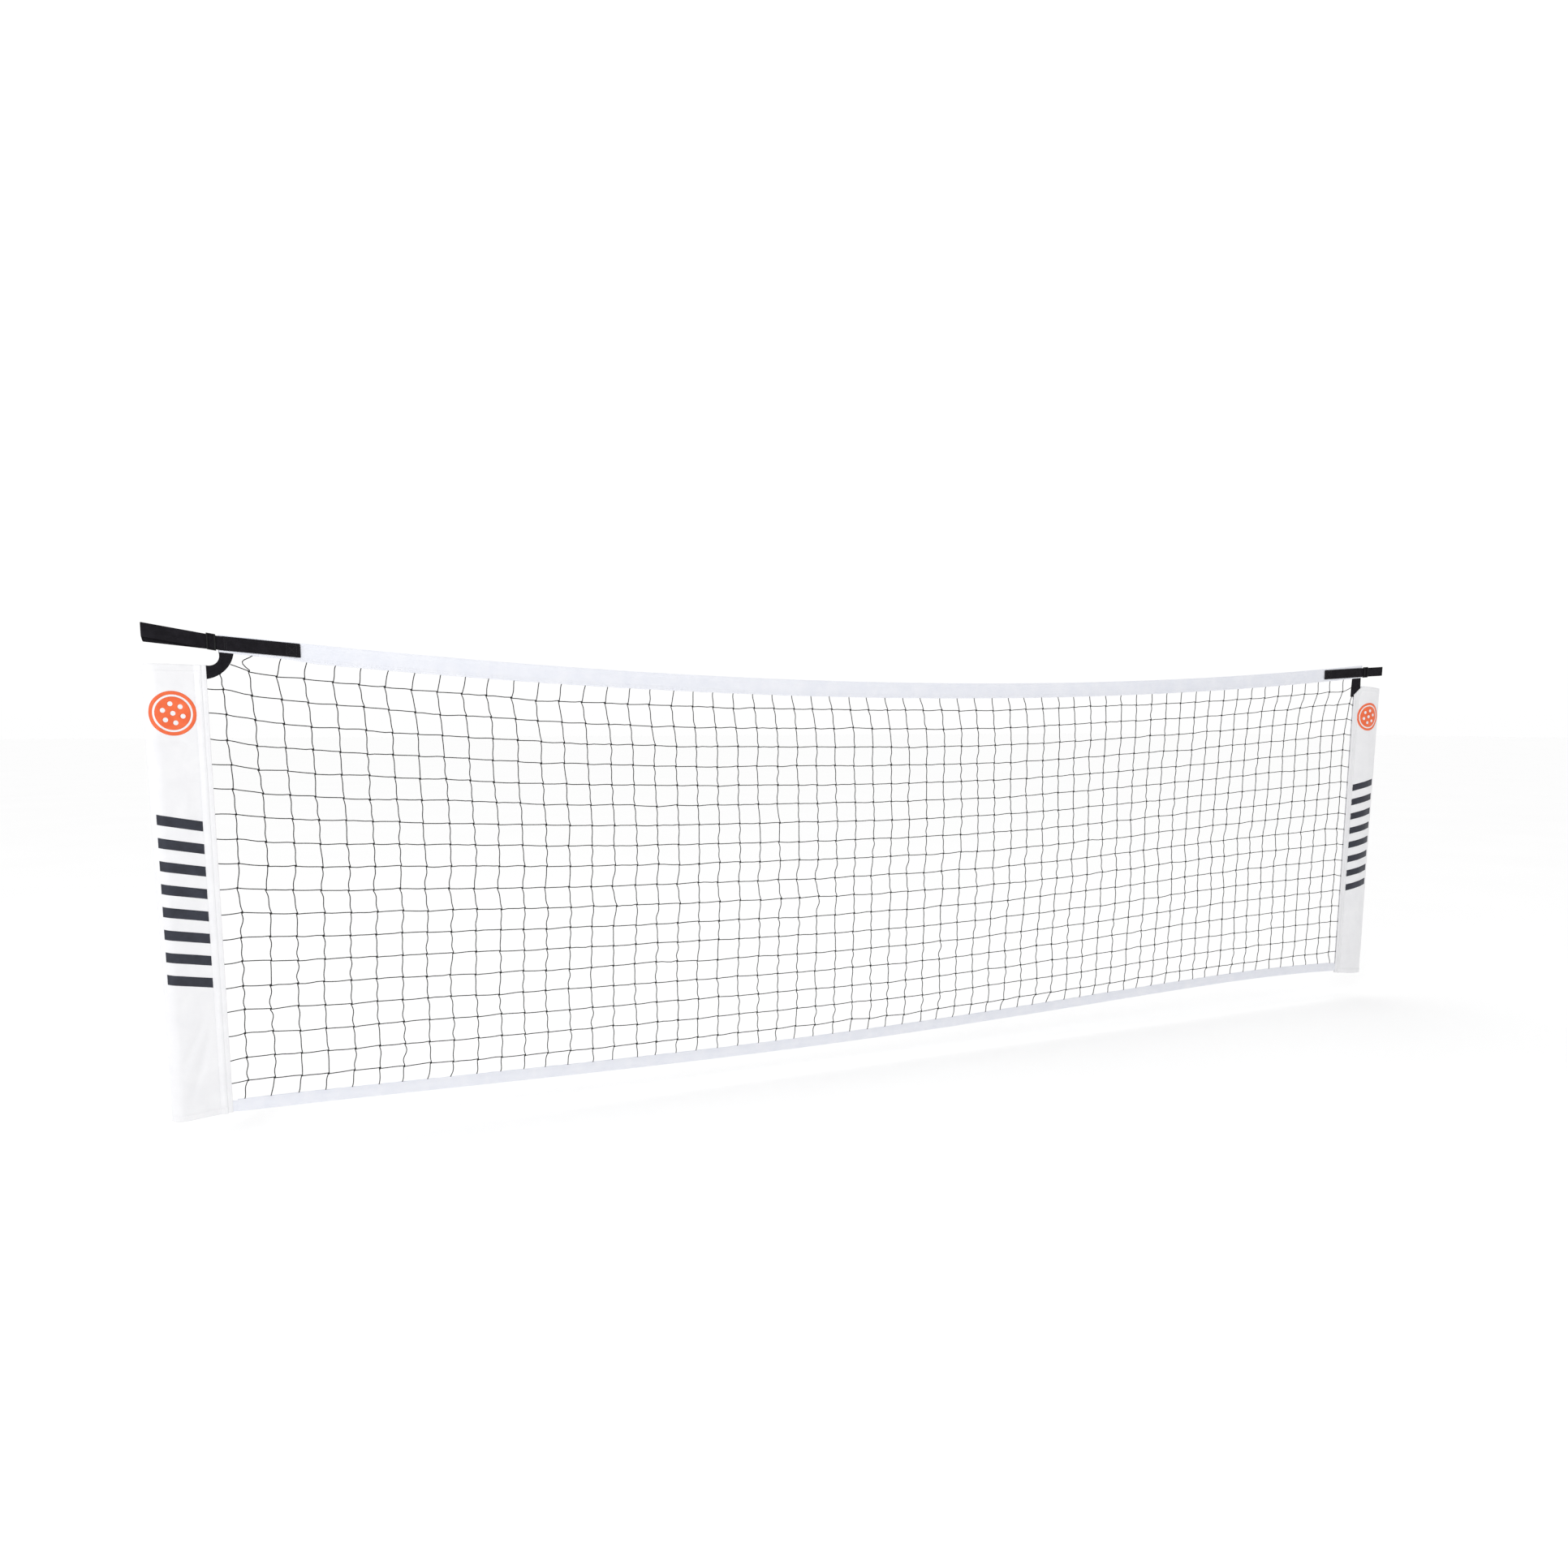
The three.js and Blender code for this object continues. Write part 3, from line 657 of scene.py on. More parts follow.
def knots_part(places):
    """A tight knot at each place: a closed twine that winds through itself, turned a little each time."""
    draw = np.random.default_rng(31)
    rings, sides, reach, thick = 16, 5, 1.75, 0.82
    t = TAU * np.arange(rings) / rings
    line = np.stack([
        (np.sin(t) + 2 * np.sin(2 * t)) / 3 * reach,
        -0.85 * np.sin(3 * t),
        (np.cos(t) - 2 * np.cos(2 * t)) / 3 * reach,
    ], axis=1)
    ahead = unit(np.roll(line, -1, 0) - np.roll(line, 1, 0))
    side = unit(np.cross(ahead, (0, 1, 0)))
    lift = np.cross(side, ahead)
    angle = TAU * np.arange(sides) / sides
    ring = np.cos(angle)[:, None] * side[:, None] + np.sin(angle)[:, None] * lift[:, None]
    template = (line[:, None] + thick * ring).reshape(-1, 3)
    index = np.arange(rings * sides).reshape(rings, sides)
    quads = np.stack([
        index, np.roll(index, -1, 0), np.roll(np.roll(index, -1, 0), -1, 1), np.roll(index, -1, 1),
    ], axis=-1).reshape(-1, 4)
    turn, far = np.arange(sides) / sides, 1.7 * np.arange(rings)
    uv = np.empty((rings, sides, 4, 2))
    uv[..., 0] = turn[None, :, None] + np.array([0, 0, 1, 1]) / sides
    uv[..., 1] = far[:, None, None] + 1.7 * np.array([0, 1, 1, 0])

    count = len(places)
    spin = draw.normal(0.5, 0.35, count)
    size = draw.normal(1, 0.07, (count, 1, 1))
    flip = np.where(np.arange(count) % 2, 1, -1)
    shape = template[None] * size
    shape[..., 1] *= flip[:, None]
    turned = shape.copy()
    turned[..., 0] = shape[..., 0] * np.cos(spin)[:, None] - shape[..., 2] * np.sin(spin)[:, None]
    turned[..., 2] = shape[..., 0] * np.sin(spin)[:, None] + shape[..., 2] * np.cos(spin)[:, None]
    points = (turned + places[:, None]).reshape(-1, 3)
    every = quads[None] + (np.arange(count) * len(template))[:, None, None]
    mirrored = flip < 0
    every[mirrored] = every[mirrored][..., ::-1]
    every_uv = np.repeat(uv.reshape(1, -1, 4, 2), count, 0)
    every_uv[mirrored] = every_uv[mirrored][:, :, ::-1]
    return points, [every.reshape(-1, 4)], [every_uv.reshape(-1, 4, 2)]


LEFT_BINDING_LOW, LEFT_BINDING_HIGH = box_mm("left_corner_binding")
RIGHT_BINDING_LOW, RIGHT_BINDING_HIGH = box_mm("right_corner_binding")
# Where a corner binding holds the top level twine and the outermost upright.
CORNER_HOLDS = {
    LEFT: np.array([
        [LEFT_BINDING_HIGH[0] - 6, 0, LEFT_BINDING_HIGH[2] - 20],
        [LEFT_BINDING_HIGH[0] - 23, 0, LEFT_BINDING_LOW[2] + 7],
    ]),
    RIGHT: np.array([
        [RIGHT_BINDING_LOW[0] + 5, 0, RIGHT_BINDING_LOW[2] + 29],
        [RIGHT_BINDING_LOW[0] + 6, 0, RIGHT_BINDING_LOW[2] + 5],
    ]),
}


def add_knotted_mesh():
    knots = knot_places()
    rows = tubes([row_twine(knots, r) for r in range(ROWS)], TWINE_RADIUS, TWINE_SIDES)
    columns = tubes([column_twine(knots, c) for c in range(COLUMNS)], TWINE_RADIUS, TWINE_SIDES)
    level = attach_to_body(make_piece("level_twines", [rows], "mesh_twine"), "net")
    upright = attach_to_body(make_piece("upright_twines", [columns], "mesh_twine"), "net")
    tied = np.ones((ROWS, COLUMNS), bool)
    tied[0, 0] = tied[0, -1] = False
    tied_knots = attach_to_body(make_piece("mesh_knots", [knots_part(knots[tied])], "mesh_twine"), "net")
    for piece in (level, upright, tied_knots):
        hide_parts("net_mesh")
    for side in SIDES:
        add_mesh_ends(side, knots[:, 0 if side == LEFT else -1])


# Rise of a row's end at the sleeve over its last knot, as rows and rises.
ENDS_RISE = {
    LEFT: ((1, 8, 10, 17), (2.5, 2, -3, -3)),
    RIGHT: ((1, 12, 17), (-4.5, -4.5, -1)),
}


def add_mesh_ends(side, knots):
    """The half cells between the last knots and the sleeve."""
    draw = np.random.default_rng(500 + side)
    seam_x = FOLD_X + 7
    paths = []
    t = np.linspace(0, 1, 9)[:, None]
    for r in range(1, ROWS):
        start = knots[r]
        rise = np.interp(r, *ENDS_RISE[side])
        end = np.array([side * seam_x, 0, start[2] + rise + draw.normal(0, 1.0)])
        line = start + (end - start) * t
        line[:, 2] -= draw.normal(0.6, 0.5) * np.sin(math.pi * t[:, 0])
        line[:, 1] *= 1 - smooth_step(t[:, 0] * 1.5)
        paths.append(line)
    name = SIDES[side]
    piece = make_piece(f"{name}_mesh_ends", [tubes(paths, TWINE_RADIUS, TWINE_SIDES)], "mesh_twine")
    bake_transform(piece)


# ------------------------------------------------------------------ tapes

TAPE_THICKNESS = 0.8
TOP_TAPE_GATHER = 3.5


def folded_profile(height, cord_radius, cord_below, half_flat):
    """Mid-line of a tape folded round a cord, as (y, v): front mouth, over the fold at v = 0, back mouth."""
    reach = cord_radius + TAPE_THICKNESS / 2
    centre = -cord_below
    arc = np.linspace(math.pi, 0, 9)
    crown = np.stack([reach * np.cos(arc), centre + reach * np.sin(arc)], axis=1)
    neck = centre - 1.9 * reach
    rows = np.linspace(-height, neck, 9)
    front = np.stack([np.full(9, -half_flat), rows], axis=1)
    throat = [[-(half_flat + reach) / 2, centre - 1.1 * reach]]
    back = front[::-1] * [-1, 1]
    return np.concatenate([front, throat, crown, np.array(throat) * [-1, 1], back])


def make_tape(name, node_name, ends, height, profile, edge, upward, seeds, anchors=(), gathered=0.0):
    """A folded tape along the net, with puckers along its seams. upward is 1 where the fold is on top.
    gathered is how much less high it is at the net's left end, where the strap pulls on it."""
    lengths = lengths_along(profile)
    broad, fine = ripples(seeds, 130), ripples(seeds + 1, 26)
    flat = smooth_step((abs(profile[:, 1]) - 6) / 5)

    def surface(x, s):
        y = np.interp(s, lengths, profile[:, 0])
        v = np.interp(s, lengths, profile[:, 1])
        flatness = np.interp(s, lengths, flat)
        face = np.sign(y)
        gather = np.sin(TAU * x / 11 + 2.2 * broad(x, 0)) * np.exp(-((abs(v) - height + 4) / 5) ** 2)
        swell = 0.34 * broad(x, 3 * v) + 0.16 * fine(x, v + 90 * face) + 0.16 * gather
        thicker = sum(
            smooth_step((x - low + 8) / 10) * smooth_step((high + 8 - x) / 10) for low, high in anchors
        )
        y = y + face * flatness * (swell + 0.65 * thicker)
        v = v * (1 - gathered / height * smooth_step((-1240 - x) / 60))
        ragged = flatness * 0.25 * fine(x, 400 * face)
        return xyz(x, y, edge(x) + upward * (v + ragged))

    stations = steps_between(*ends, 5.5)
    part = shell(grid(surface, stations, lengths), TAPE_THICKNESS)
    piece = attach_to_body(make_piece(name, [part], "tape_fabric"), "net")
    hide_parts(node_name)
    return piece, surface, lengths


def tape_stitching(name, place, lengths, ends, offsets):
    """Lines of stitching on both faces of a tape; offsets are distances from its mouth."""
    parts = []
    for offset in offsets:
        for s in (offset, lengths[-1] - offset):
            parts.append(stitch_line(place, (ends[0] + 2, s), (ends[1] - 2, s)))
    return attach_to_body(make_piece(name, parts, "white_thread"), "net")


def add_tapes():
    anchors = [[corner[0] for corner in box_mm(f"{name}_strap_anchor")] for name in SIDES.values()]
    ends = TOP_TAPE_LOW[0], TOP_TAPE_HIGH[0]
    profile = folded_profile(TOP_TAPE_HEIGHT, 2.1, 2.95, 1.65)
    tape, surface, lengths = make_tape(
        "top_band", "top_tape", ends, TOP_TAPE_HEIGHT, profile, top_edge, 1, 41, anchors, TOP_TAPE_GATHER
    )
    thread = tape_stitching("top_band_stitching", lifted(surface), lengths, ends, (3.2, 7.0))

    ends = BOTTOM_TAPE_LOW[0], BOTTOM_TAPE_HIGH[0]
    profile = folded_profile(BOTTOM_TAPE_HEIGHT, 1.5, 2.35, 1.5)
    tape, surface, lengths = make_tape(
        "bottom_band", "bottom_tape", ends, BOTTOM_TAPE_HEIGHT, profile, bottom_edge, -1, 51
    )
    thread = tape_stitching("bottom_band_stitching", lifted(surface, -1), lengths, ends, (3.0, 6.4))
    for side, name in SIDES.items():
        add_foot_tab(side, name)


def add_foot_tab(side, name):
    """The folded tab that carries the bottom tape's end across the fold line into the sleeve's seam."""
    half, rise = 1.2, BOTTOM_TAPE_HEIGHT - 2
    profile = np.array([
        (-half, rise), (-half, rise * 0.6), (-half, rise * 0.25), (-half, 2.6), (-0.6, 1.4),
        (0.6, 1.4), (half, 2.6), (half, rise * 0.25), (half, rise * 0.6), (half, rise),
    ])
    lengths = lengths_along(profile)
    inner, outer = BOTTOM_TAPE_HIGH[0] - 9, FOLD_X + 9
    foot = bottom_edge(side * BOTTOM_TAPE_HIGH[0])

    def surface(x, s):
        y = np.interp(s, lengths, profile[:, 0])
        v = np.interp(s, lengths, profile[:, 1])
        return xyz(side * x, y, foot + v)

    part = shell(grid(surface, steps_between(inner, outer, 1.5), lengths), TAPE_THICKNESS)
    piece = make_piece(f"{name}_foot_tab", [part], "tape_fabric")
    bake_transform(piece)


# ------------------------------------------------------------------ post sleeves

SLEEVE_THICKNESS = 0.8
HEM = 13
EDGE_TAPE_LOW, EDGE_TAPE_HIGH = box_mm("right_edge_tape")
SLEEVE_LOW, SLEEVE_HIGH = box_mm("right_post_sleeve")
SLEEVE_TOP = SLEEVE_HIGH[2]
FLANGE_HALF = 1.6
FLAT_FOLD_RADIUS = 3
# The right sleeve's inner top corner is cut away, and its rim falls a little towards the outer one.
CORNER_FROM = SLEEVE_LOW[0] + 18
CORNER_WIDE, CORNER_HIGH = 32, 24
OUTER_CORNER_DROP = 6
FOOT_DROP = {LEFT: 0, RIGHT: 7}
# How far the right sleeve's fabric stands off the net's plane where it covers the corner webbing.
OVER_WEBBING = 2.6
LAP = 5.5
SEAM_OFFSETS = 1.9, LAP + 6.5
HEM_STITCH_PITCH, HEM_STITCH_GAP, HEM_STITCH_RISE = 4.4, 0.9, 0.62
TIP = np.array([SLEEVE_LOW[0] + 6, FLANGE_HALF - 0.6])


def open_plan(outer, half_depth):
    """Mid-line of one layer of a sleeve that hangs open: straight from its tip to a round nose."""
    radius = half_depth - SLEEVE_THICKNESS / 2
    centre = outer - half_depth
    touch = math.acos((radius - TIP[1]) / (centre - TIP[0]))
    meet = np.array([centre - radius * math.cos(touch), radius * math.sin(touch)])
    straight = TIP + (meet - TIP) * np.linspace(0, 1, 14)[:, None]
    angle = np.linspace(math.pi - touch, 0, 22)[1:]
    nose = np.stack([centre + radius * np.cos(angle), radius * np.sin(angle)], axis=1)
    return np.concatenate([straight, nose])


def flat_plan(outer, half_depth):
    """Mid-line of one layer of a sleeve that hangs almost flat: a shallow swell that ends in a tight fold."""
    radius = FLAT_FOLD_RADIUS - SLEEVE_THICKNESS / 2
    centre = outer - FLAT_FOLD_RADIUS
    swell = half_depth - (FLANGE_HALF + FLAT_FOLD_RADIUS) / 2
    t = np.linspace(0, 1, 26)[:, None]
    layer = TIP + (np.array([centre, radius]) - TIP) * t + swell * np.sin(math.pi * t) * [0, 1]
    angle = np.linspace(math.pi / 2, 0, 7)[1:]
    fold = np.stack([centre + radius * np.cos(angle), radius * np.sin(angle)], axis=1)
    return np.concatenate([layer, fold])


class Plan:
    """A sleeve's fabric from above: w runs from its front seam, round the outer end, to its back seam."""

    def __init__(self, side):
        high = abs(np.array(box_mm(f"{SIDES[side]}_post_sleeve"))).max(0)
        lap_y = EDGE_TAPE_HIGH[1] + SLEEVE_THICKNESS / 2 + 0.1
        lap = [(SLEEVE_LOW[0] - LAP, lap_y), (SLEEVE_LOW[0] - 0.6, lap_y), (SLEEVE_LOW[0] + 2, 0.6 * lap_y)]
        layer = (open_plan if side == LEFT else flat_plan)(high[0], high[1])
        self.line = np.concatenate([lap, layer])
        self.lengths = lengths_along(self.line)
        self.half = self.lengths[-1]

    def near(self, w):
        return np.where(w <= self.half, w, 2 * self.half - w)

    def x(self, w):
        return np.interp(self.near(w), self.lengths, self.line[:, 0])

    def y(self, w):
        return np.interp(self.near(w), self.lengths, self.line[:, 1]) * np.where(w <= self.half, -1, 1)


PLANS = {side: Plan(side) for side in SIDES}


def sleeve_foot(side, x):
    """Height of a sleeve's lower rim: the right one's outer corner hangs a little."""
    return -FOOT_DROP[side] * np.clip((x - SLEEVE_LOW[0]) / (SLEEVE_HIGH[0] - SLEEVE_LOW[0]), 0, 1)


def sleeve_top(side, x):
    """Height of a sleeve's upper rim at a distance x from the net's middle."""
    if side == LEFT:
        return np.full(np.shape(x), SLEEVE_TOP)
    inward = np.clip((CORNER_FROM - x) / CORNER_WIDE, 0, 1)
    outward = np.clip((x - CORNER_FROM) / (SLEEVE_HIGH[0] - CORNER_FROM), 0, 1)
    return SLEEVE_TOP - CORNER_HIGH * inward**1.2 - OUTER_CORNER_DROP * outward


def crease(x, z, start, end, depth, width):
    """A soft valley between two points of the flat fabric, fading out at both ends."""
    start, end = np.array(start, float), np.array(end, float)
    axis = end - start
    length = np.linalg.norm(axis)
    axis = axis / length
    along = (x - start[0]) * axis[0] + (z - start[1]) * axis[1]
    away = (x - start[0]) * axis[1] - (z - start[1]) * axis[0]
    fade = smooth_step(along / (0.3 * length)) * smooth_step((length - along) / (0.3 * length))
    return -depth * fade * np.exp(-((away / width) ** 2))


# Creases of each sleeve's front, as start, end, depth and width; x is the distance from the net's middle.
CREASES = {
    LEFT: [
        ((1500, 20), (1438, 185), 2.6, 9), ((1512, 75), (1450, 205), 1.5, 7),
        ((1470, 8), (1436, 70), 1.3, 6), ((1436, 672), (1515, 676), 0.9, 3.2),
        ((1440, 700), (1470, 640), 0.8, 6), ((1450, 790), (1475, 730), 0.8, 6),
        ((1440, 520), (1462, 455), 1.0, 6), ((1438, 330), (1500, 260), 1.0, 9),
        ((1440, 590), (1500, 610), 0.5, 8),
    ],
    RIGHT: [
        ((1440, 660), (1505, 670), 0.6, 3.5), ((1495, 30), (1440, 150), 1.5, 9),
        ((1445, 420), (1500, 360), 0.8, 9), ((1450, 770), (1490, 700), 0.7, 7),
        ((1440, 240), (1480, 200), 0.7, 7),
    ],
}


def sleeve_surface(side):
    """surface(w, z): w runs round the fabric, from the front seam over the outer end to the back seam."""
    broad, fine = ripples(60 + side, 120), ripples(70 + side, 30)
    plan = PLANS[side]

    def surface(w, z):
        front, near = w <= plan.half, plan.near(w)
        flat_x = plan.line[0, 0] + near
        loose = smooth_step((near - 14) / 25)
        layer = np.where(front, 0, 900)
        fold = loose * (0.9 * broad(flat_x + layer, 0.45 * z) + 0.28 * fine(flat_x + layer, z))
        ends = np.exp(-((near - 12) / 9) ** 2)
        fold = fold + 0.3 * ends * np.sin(TAU * z / 13 + 3 * broad(0, z))
        for start, end, depth, width in CREASES[side]:
            fold = fold + crease(flat_x, z, start, end, depth, width) * np.where(front, 1, 0.6) * loose
        out = np.clip((near - 30) / (plan.half - 30), 0, 1)
        depth = abs(plan.y(w)) + fold * (1 - 0.75 * smooth_step((out - 0.82) / 0.18))
        if side == RIGHT:
            x = plan.x(w)
            above = smooth_step((z - RIGHT_BINDING_LOW[2] + 11) / 10)
            over = above * smooth_step((RIGHT_BINDING_HIGH[0] + 3 - x) / 5)
            depth = np.maximum(depth, OVER_WEBBING * over)
        return xyz(side * plan.x(w), np.where(front, -1, 1) * depth, z)

    return surface


def sleeve_rows(side, x):
    """Heights of the grid's rows at x, foot to top, with rows close together at the two hems."""
    low, high = sleeve_foot(side, x)[:, None], sleeve_top(side, x)[:, None]
    hem = np.array([0, 0.25, 0.5, 0.75, 0.97, 1.03, 1.25]) * HEM
    inner = np.linspace(0, 1, 240)[1:-1]
    middle = low + hem[-1] + (high - low - 2 * hem[-1]) * inner
    return np.concatenate([low + hem, middle, high - hem[::-1]], axis=1)


def add_sleeve(side, name):
    surface, plan = sleeve_surface(side), PLANS[side]
    # The grid's lines are close together round the lap and the seam.
    w = np.array([0, 1.5, 3.2, 4.6, 5.6, 7, 8.6, 10.2, 11.2, 11.9, 12.7])
    w = np.concatenate([w, steps_between(14.5, plan.half, 2.5)])
    w = np.concatenate([w, (2 * plan.half - w[:-1])[::-1]])
    z = sleeve_rows(side, plan.x(w))
    thickness = np.full(z.shape, SLEEVE_THICKNESS)
    thickness[:, :5] = thickness[:, -5:] = 2 * SLEEVE_THICKNESS
    part = shell(surface(w[:, None], z), thickness)
    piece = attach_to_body(make_piece(f"{name}_sleeve_fabric", [part], "sleeve_fabric"), f"{name}_sleeve")
    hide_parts(f"{name}_post_sleeve")

    place = lifted(surface, side)
    thread = sleeve_stitching(side, name, place)
    prints = [add_emblem(side, name, place), add_stripes(side, name, place)]


def sleeve_stitching(side, name, place):
    """Two seams down each layer of the flange, and one line round each hem."""
    plan = PLANS[side]
    full = 2 * plan.half
    parts = []
    for offset in SEAM_OFFSETS:
        top = sleeve_top(side, plan.x(offset)) - 3
        for w in (offset, full - offset):
            parts.append(stitch_line(place, (w, 3), (w, float(top))))
    w = steps_between(4, full - 4, HEM_STITCH_PITCH)
    gap = np.array([HEM_STITCH_GAP / 2, 0])
    around = plan.x(w)
    for z in (sleeve_foot(side, around) + HEM - 2.5, sleeve_top(side, around) + 2.5 - HEM):
        line = np.stack([w, z], axis=1)
        parts.append(stitches(place, line[:-1] + gap, line[1:] - gap, rise=HEM_STITCH_RISE))
    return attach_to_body(make_piece(f"{name}_sleeve_stitching", parts, "white_thread"), f"{name}_sleeve")


def printed_part(side, outlines, inside, place, front):
    """Flat shapes as a film on a sleeve's front (1) or back (-1), with outlines as (x, z) about PRINT_X."""
    points, edges = [], []
    for outline in outlines:
        first = len(points)
        points.extend(outline)
        edges.extend((first + i, first + (i + 1) % len(outline)) for i in range(len(outline)))
    low, high = np.min(points, axis=0), np.max(points, axis=0)
    xs, zs = steps_between(low[0], high[0], 2.5), steps_between(low[1], high[1], 2.5)
    filler = [(x, z) for x in xs[1:-1] for z in zs[1:-1] if inside(x, z, 0.9)]
    cdt = delaunay_2d_cdt([Vector(p) for p in points + filler], edges, [], 0, 1e-4)
    flat = np.array([(p.x, p.y) for p in cdt[0]])
    tris = np.array([t for t in cdt[2] if inside(*flat[list(t)].mean(0), 0)])
    plan = PLANS[side]
    w = flat[:, 0] + np.interp(PRINT_X[side], plan.line[:, 0], plan.lengths)
    w = w if front > 0 else 2 * plan.half - w
    top, under = place(w, flat[:, 1], PRINT_LIFT), place(w, flat[:, 1], 0.2)
    count = len(flat)
    sides = np.concatenate([tris[:, [0, 1]], tris[:, [1, 2]], tris[:, [2, 0]]])
    known = {(a, b) for a, b in sides.tolist()}
    rim = np.array([(a, b) for a, b in sides.tolist() if (b, a) not in known])
    walls = np.stack([rim[:, 1], rim[:, 0], rim[:, 0] + count, rim[:, 1] + count], axis=1)
    faces = [np.concatenate([tris, tris[:, ::-1] + count]), walls]
    all_points = np.concatenate([top, under])
    a, b, c = (all_points[faces[0][0, i]] for i in range(3))
    outward = (top - under)[faces[0][0, 0]]
    if np.dot(np.cross(b - a, c - a), outward) < 0:
        faces = [f[:, ::-1] for f in faces]
    uv = np.concatenate([flat, flat])
    return all_points, faces, [uv[f] for f in faces]


def circle(x, z, radius, spacing=2.2):
    count = max(16, round(TAU * radius / spacing))
    turns = [TAU * i / count for i in range(count)]
    return [(x + radius * math.cos(a), z + radius * math.sin(a)) for a in turns]


PRINT_X = {LEFT: 1479.5, RIGHT: 1480.5}
PRINT_LIFT = 0.66
EMBLEM_Z = 722
EMBLEM_RADIUS = 38
EMBLEM_RING = 6
BALL_RADIUS = 28.5
HOLE_RADIUS = 4.2
HOLES_AT = 16.6


def add_emblem(side, name, place):
    """A plain ball with round holes inside a ring, on both faces."""
    turns = [TAU * k / 6 + 0.3 for k in range(6)]
    holes = [(0, EMBLEM_Z)]
    holes += [(HOLES_AT * math.cos(a), EMBLEM_Z + HOLES_AT * math.sin(a)) for a in turns]

    def in_ring(x, z, margin):
        away = math.hypot(x, z - EMBLEM_Z)
        return EMBLEM_RADIUS - EMBLEM_RING + margin < away < EMBLEM_RADIUS - margin

    def in_ball(x, z, margin):
        if math.hypot(x, z - EMBLEM_Z) > BALL_RADIUS - margin:
            return False
        return all(math.hypot(x - hx, z - hz) > HOLE_RADIUS + margin for hx, hz in holes)

    ring = [circle(0, EMBLEM_Z, r) for r in (EMBLEM_RADIUS, EMBLEM_RADIUS - EMBLEM_RING)]
    ball = [circle(0, EMBLEM_Z, BALL_RADIUS)] + [circle(x, z, HOLE_RADIUS, 1.4) for x, z in holes]
    parts = []
    for front in (1, -1):
        parts.append(printed_part(side, ring, in_ring, place, front))
        parts.append(printed_part(side, ball, in_ball, place, front))
    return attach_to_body(make_piece(f"{name}_ball_print", parts, "orange_print"), f"{name}_sleeve")


STRIPE_COUNT = 8
STRIPES_TOP, STRIPES_FOOT = 553, 232
STRIPE_HALF_WIDTH = 36.5
STRIPE_SLANT = 15.5


def add_stripes(side, name, place):
    """A column of slanted bars down the sleeve, on both faces."""
    pitch = (STRIPES_TOP - STRIPES_FOOT) / STRIPE_COUNT
    thick = 0.44 * pitch
    parts = []
    for k in range(STRIPE_COUNT):
        middle = STRIPES_TOP - (k + 0.5) * pitch

        def inside(x, z, margin, middle=middle):
            slanted = z - middle - STRIPE_SLANT * x / STRIPE_HALF_WIDTH * 0.5
            return abs(slanted) < thick / 2 - margin and abs(x) < STRIPE_HALF_WIDTH - margin

        rise = STRIPE_SLANT / 2
        corners = [(-1, -1), (1, -1), (1, 1), (-1, 1)]
        outline = []
        for (ax, az), (bx, bz) in zip(corners, corners[1:] + corners[:1]):
            for t in np.linspace(0, 1, 28 if az == bz else 7)[:-1]:
                px, pz = ax + (bx - ax) * t, az + (bz - az) * t
                outline.append((px * STRIPE_HALF_WIDTH, middle + pz * thick / 2 + px * rise))
        for front in (1, -1):
            parts.append(printed_part(side, [outline], inside, place, front))
    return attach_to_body(make_piece(f"{name}_stripe_print", parts, "navy_print"), f"{name}_sleeve")


def add_edge_band(side, name):
    """The folded tape that takes the side of the mesh and its cord into the sleeve's seam."""
    low, high = EDGE_TAPE_LOW[0], EDGE_TAPE_HIGH[0]
    half = EDGE_TAPE_HIGH[1] - SLEEVE_THICKNESS / 2
    bend = np.linspace(-math.pi / 2, math.pi / 2, 7)
    legs = np.linspace(low, high - half, 6)
    profile = np.concatenate([
        np.stack([legs, np.full(6, -half)], axis=1),
        np.stack([high - half + (half - 0.4) * np.cos(bend), half * np.sin(bend)], axis=1)[1:-1],
        np.stack([legs[::-1], np.full(6, half)], axis=1),
    ])
    lengths = lengths_along(profile)
    fine = ripples(80 + side, 24)

    def surface(s, z):
        x = np.interp(s, lengths, profile[:, 0])
        y = np.interp(s, lengths, profile[:, 1])
        free = smooth_step((high - 7 - x) / 6)
        pucker = 0.22 * np.sin(TAU * z / 12 + 2 * fine(0, z)) + 0.15 * fine(x, z)
        return xyz(side * x, y - np.sign(y) * free * (0.3 + pucker), z)

    top = sleeve_top(side, profile[:, 0])
    rows = np.linspace(0, 1, 170)
    z = 1.0 + (top - 1.0)[:, None] * rows
    part = shell(surface(lengths[:, None], z), SLEEVE_THICKNESS)
    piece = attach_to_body(make_piece(f"{name}_edge_band", [part], "sleeve_fabric"), f"{name}_sleeve")
    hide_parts(f"{name}_edge_tape")
    place = lifted(surface, side)
    parts = []
    end = float(sleeve_top(side, low + 3.0)) - 3
    for s in (3.0, lengths[-1] - 3.0):
        parts.append(stitch_line(place, (s, 4), (s, end)))
    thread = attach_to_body(make_piece(f"{name}_edge_band_stitching", parts, "white_thread"), f"{name}_sleeve")


# ------------------------------------------------------------------ corner bindings

BINDING_THICKNESS = 0.9
BINDING_HALF = 1.25
LEFT_BAND_WIDTH, LEFT_BAND_PINCH = 23, 5.5
RIGHT_BAND_TOP_WIDTH, RIGHT_BAND_FOOT_WIDTH = 29.5, 35


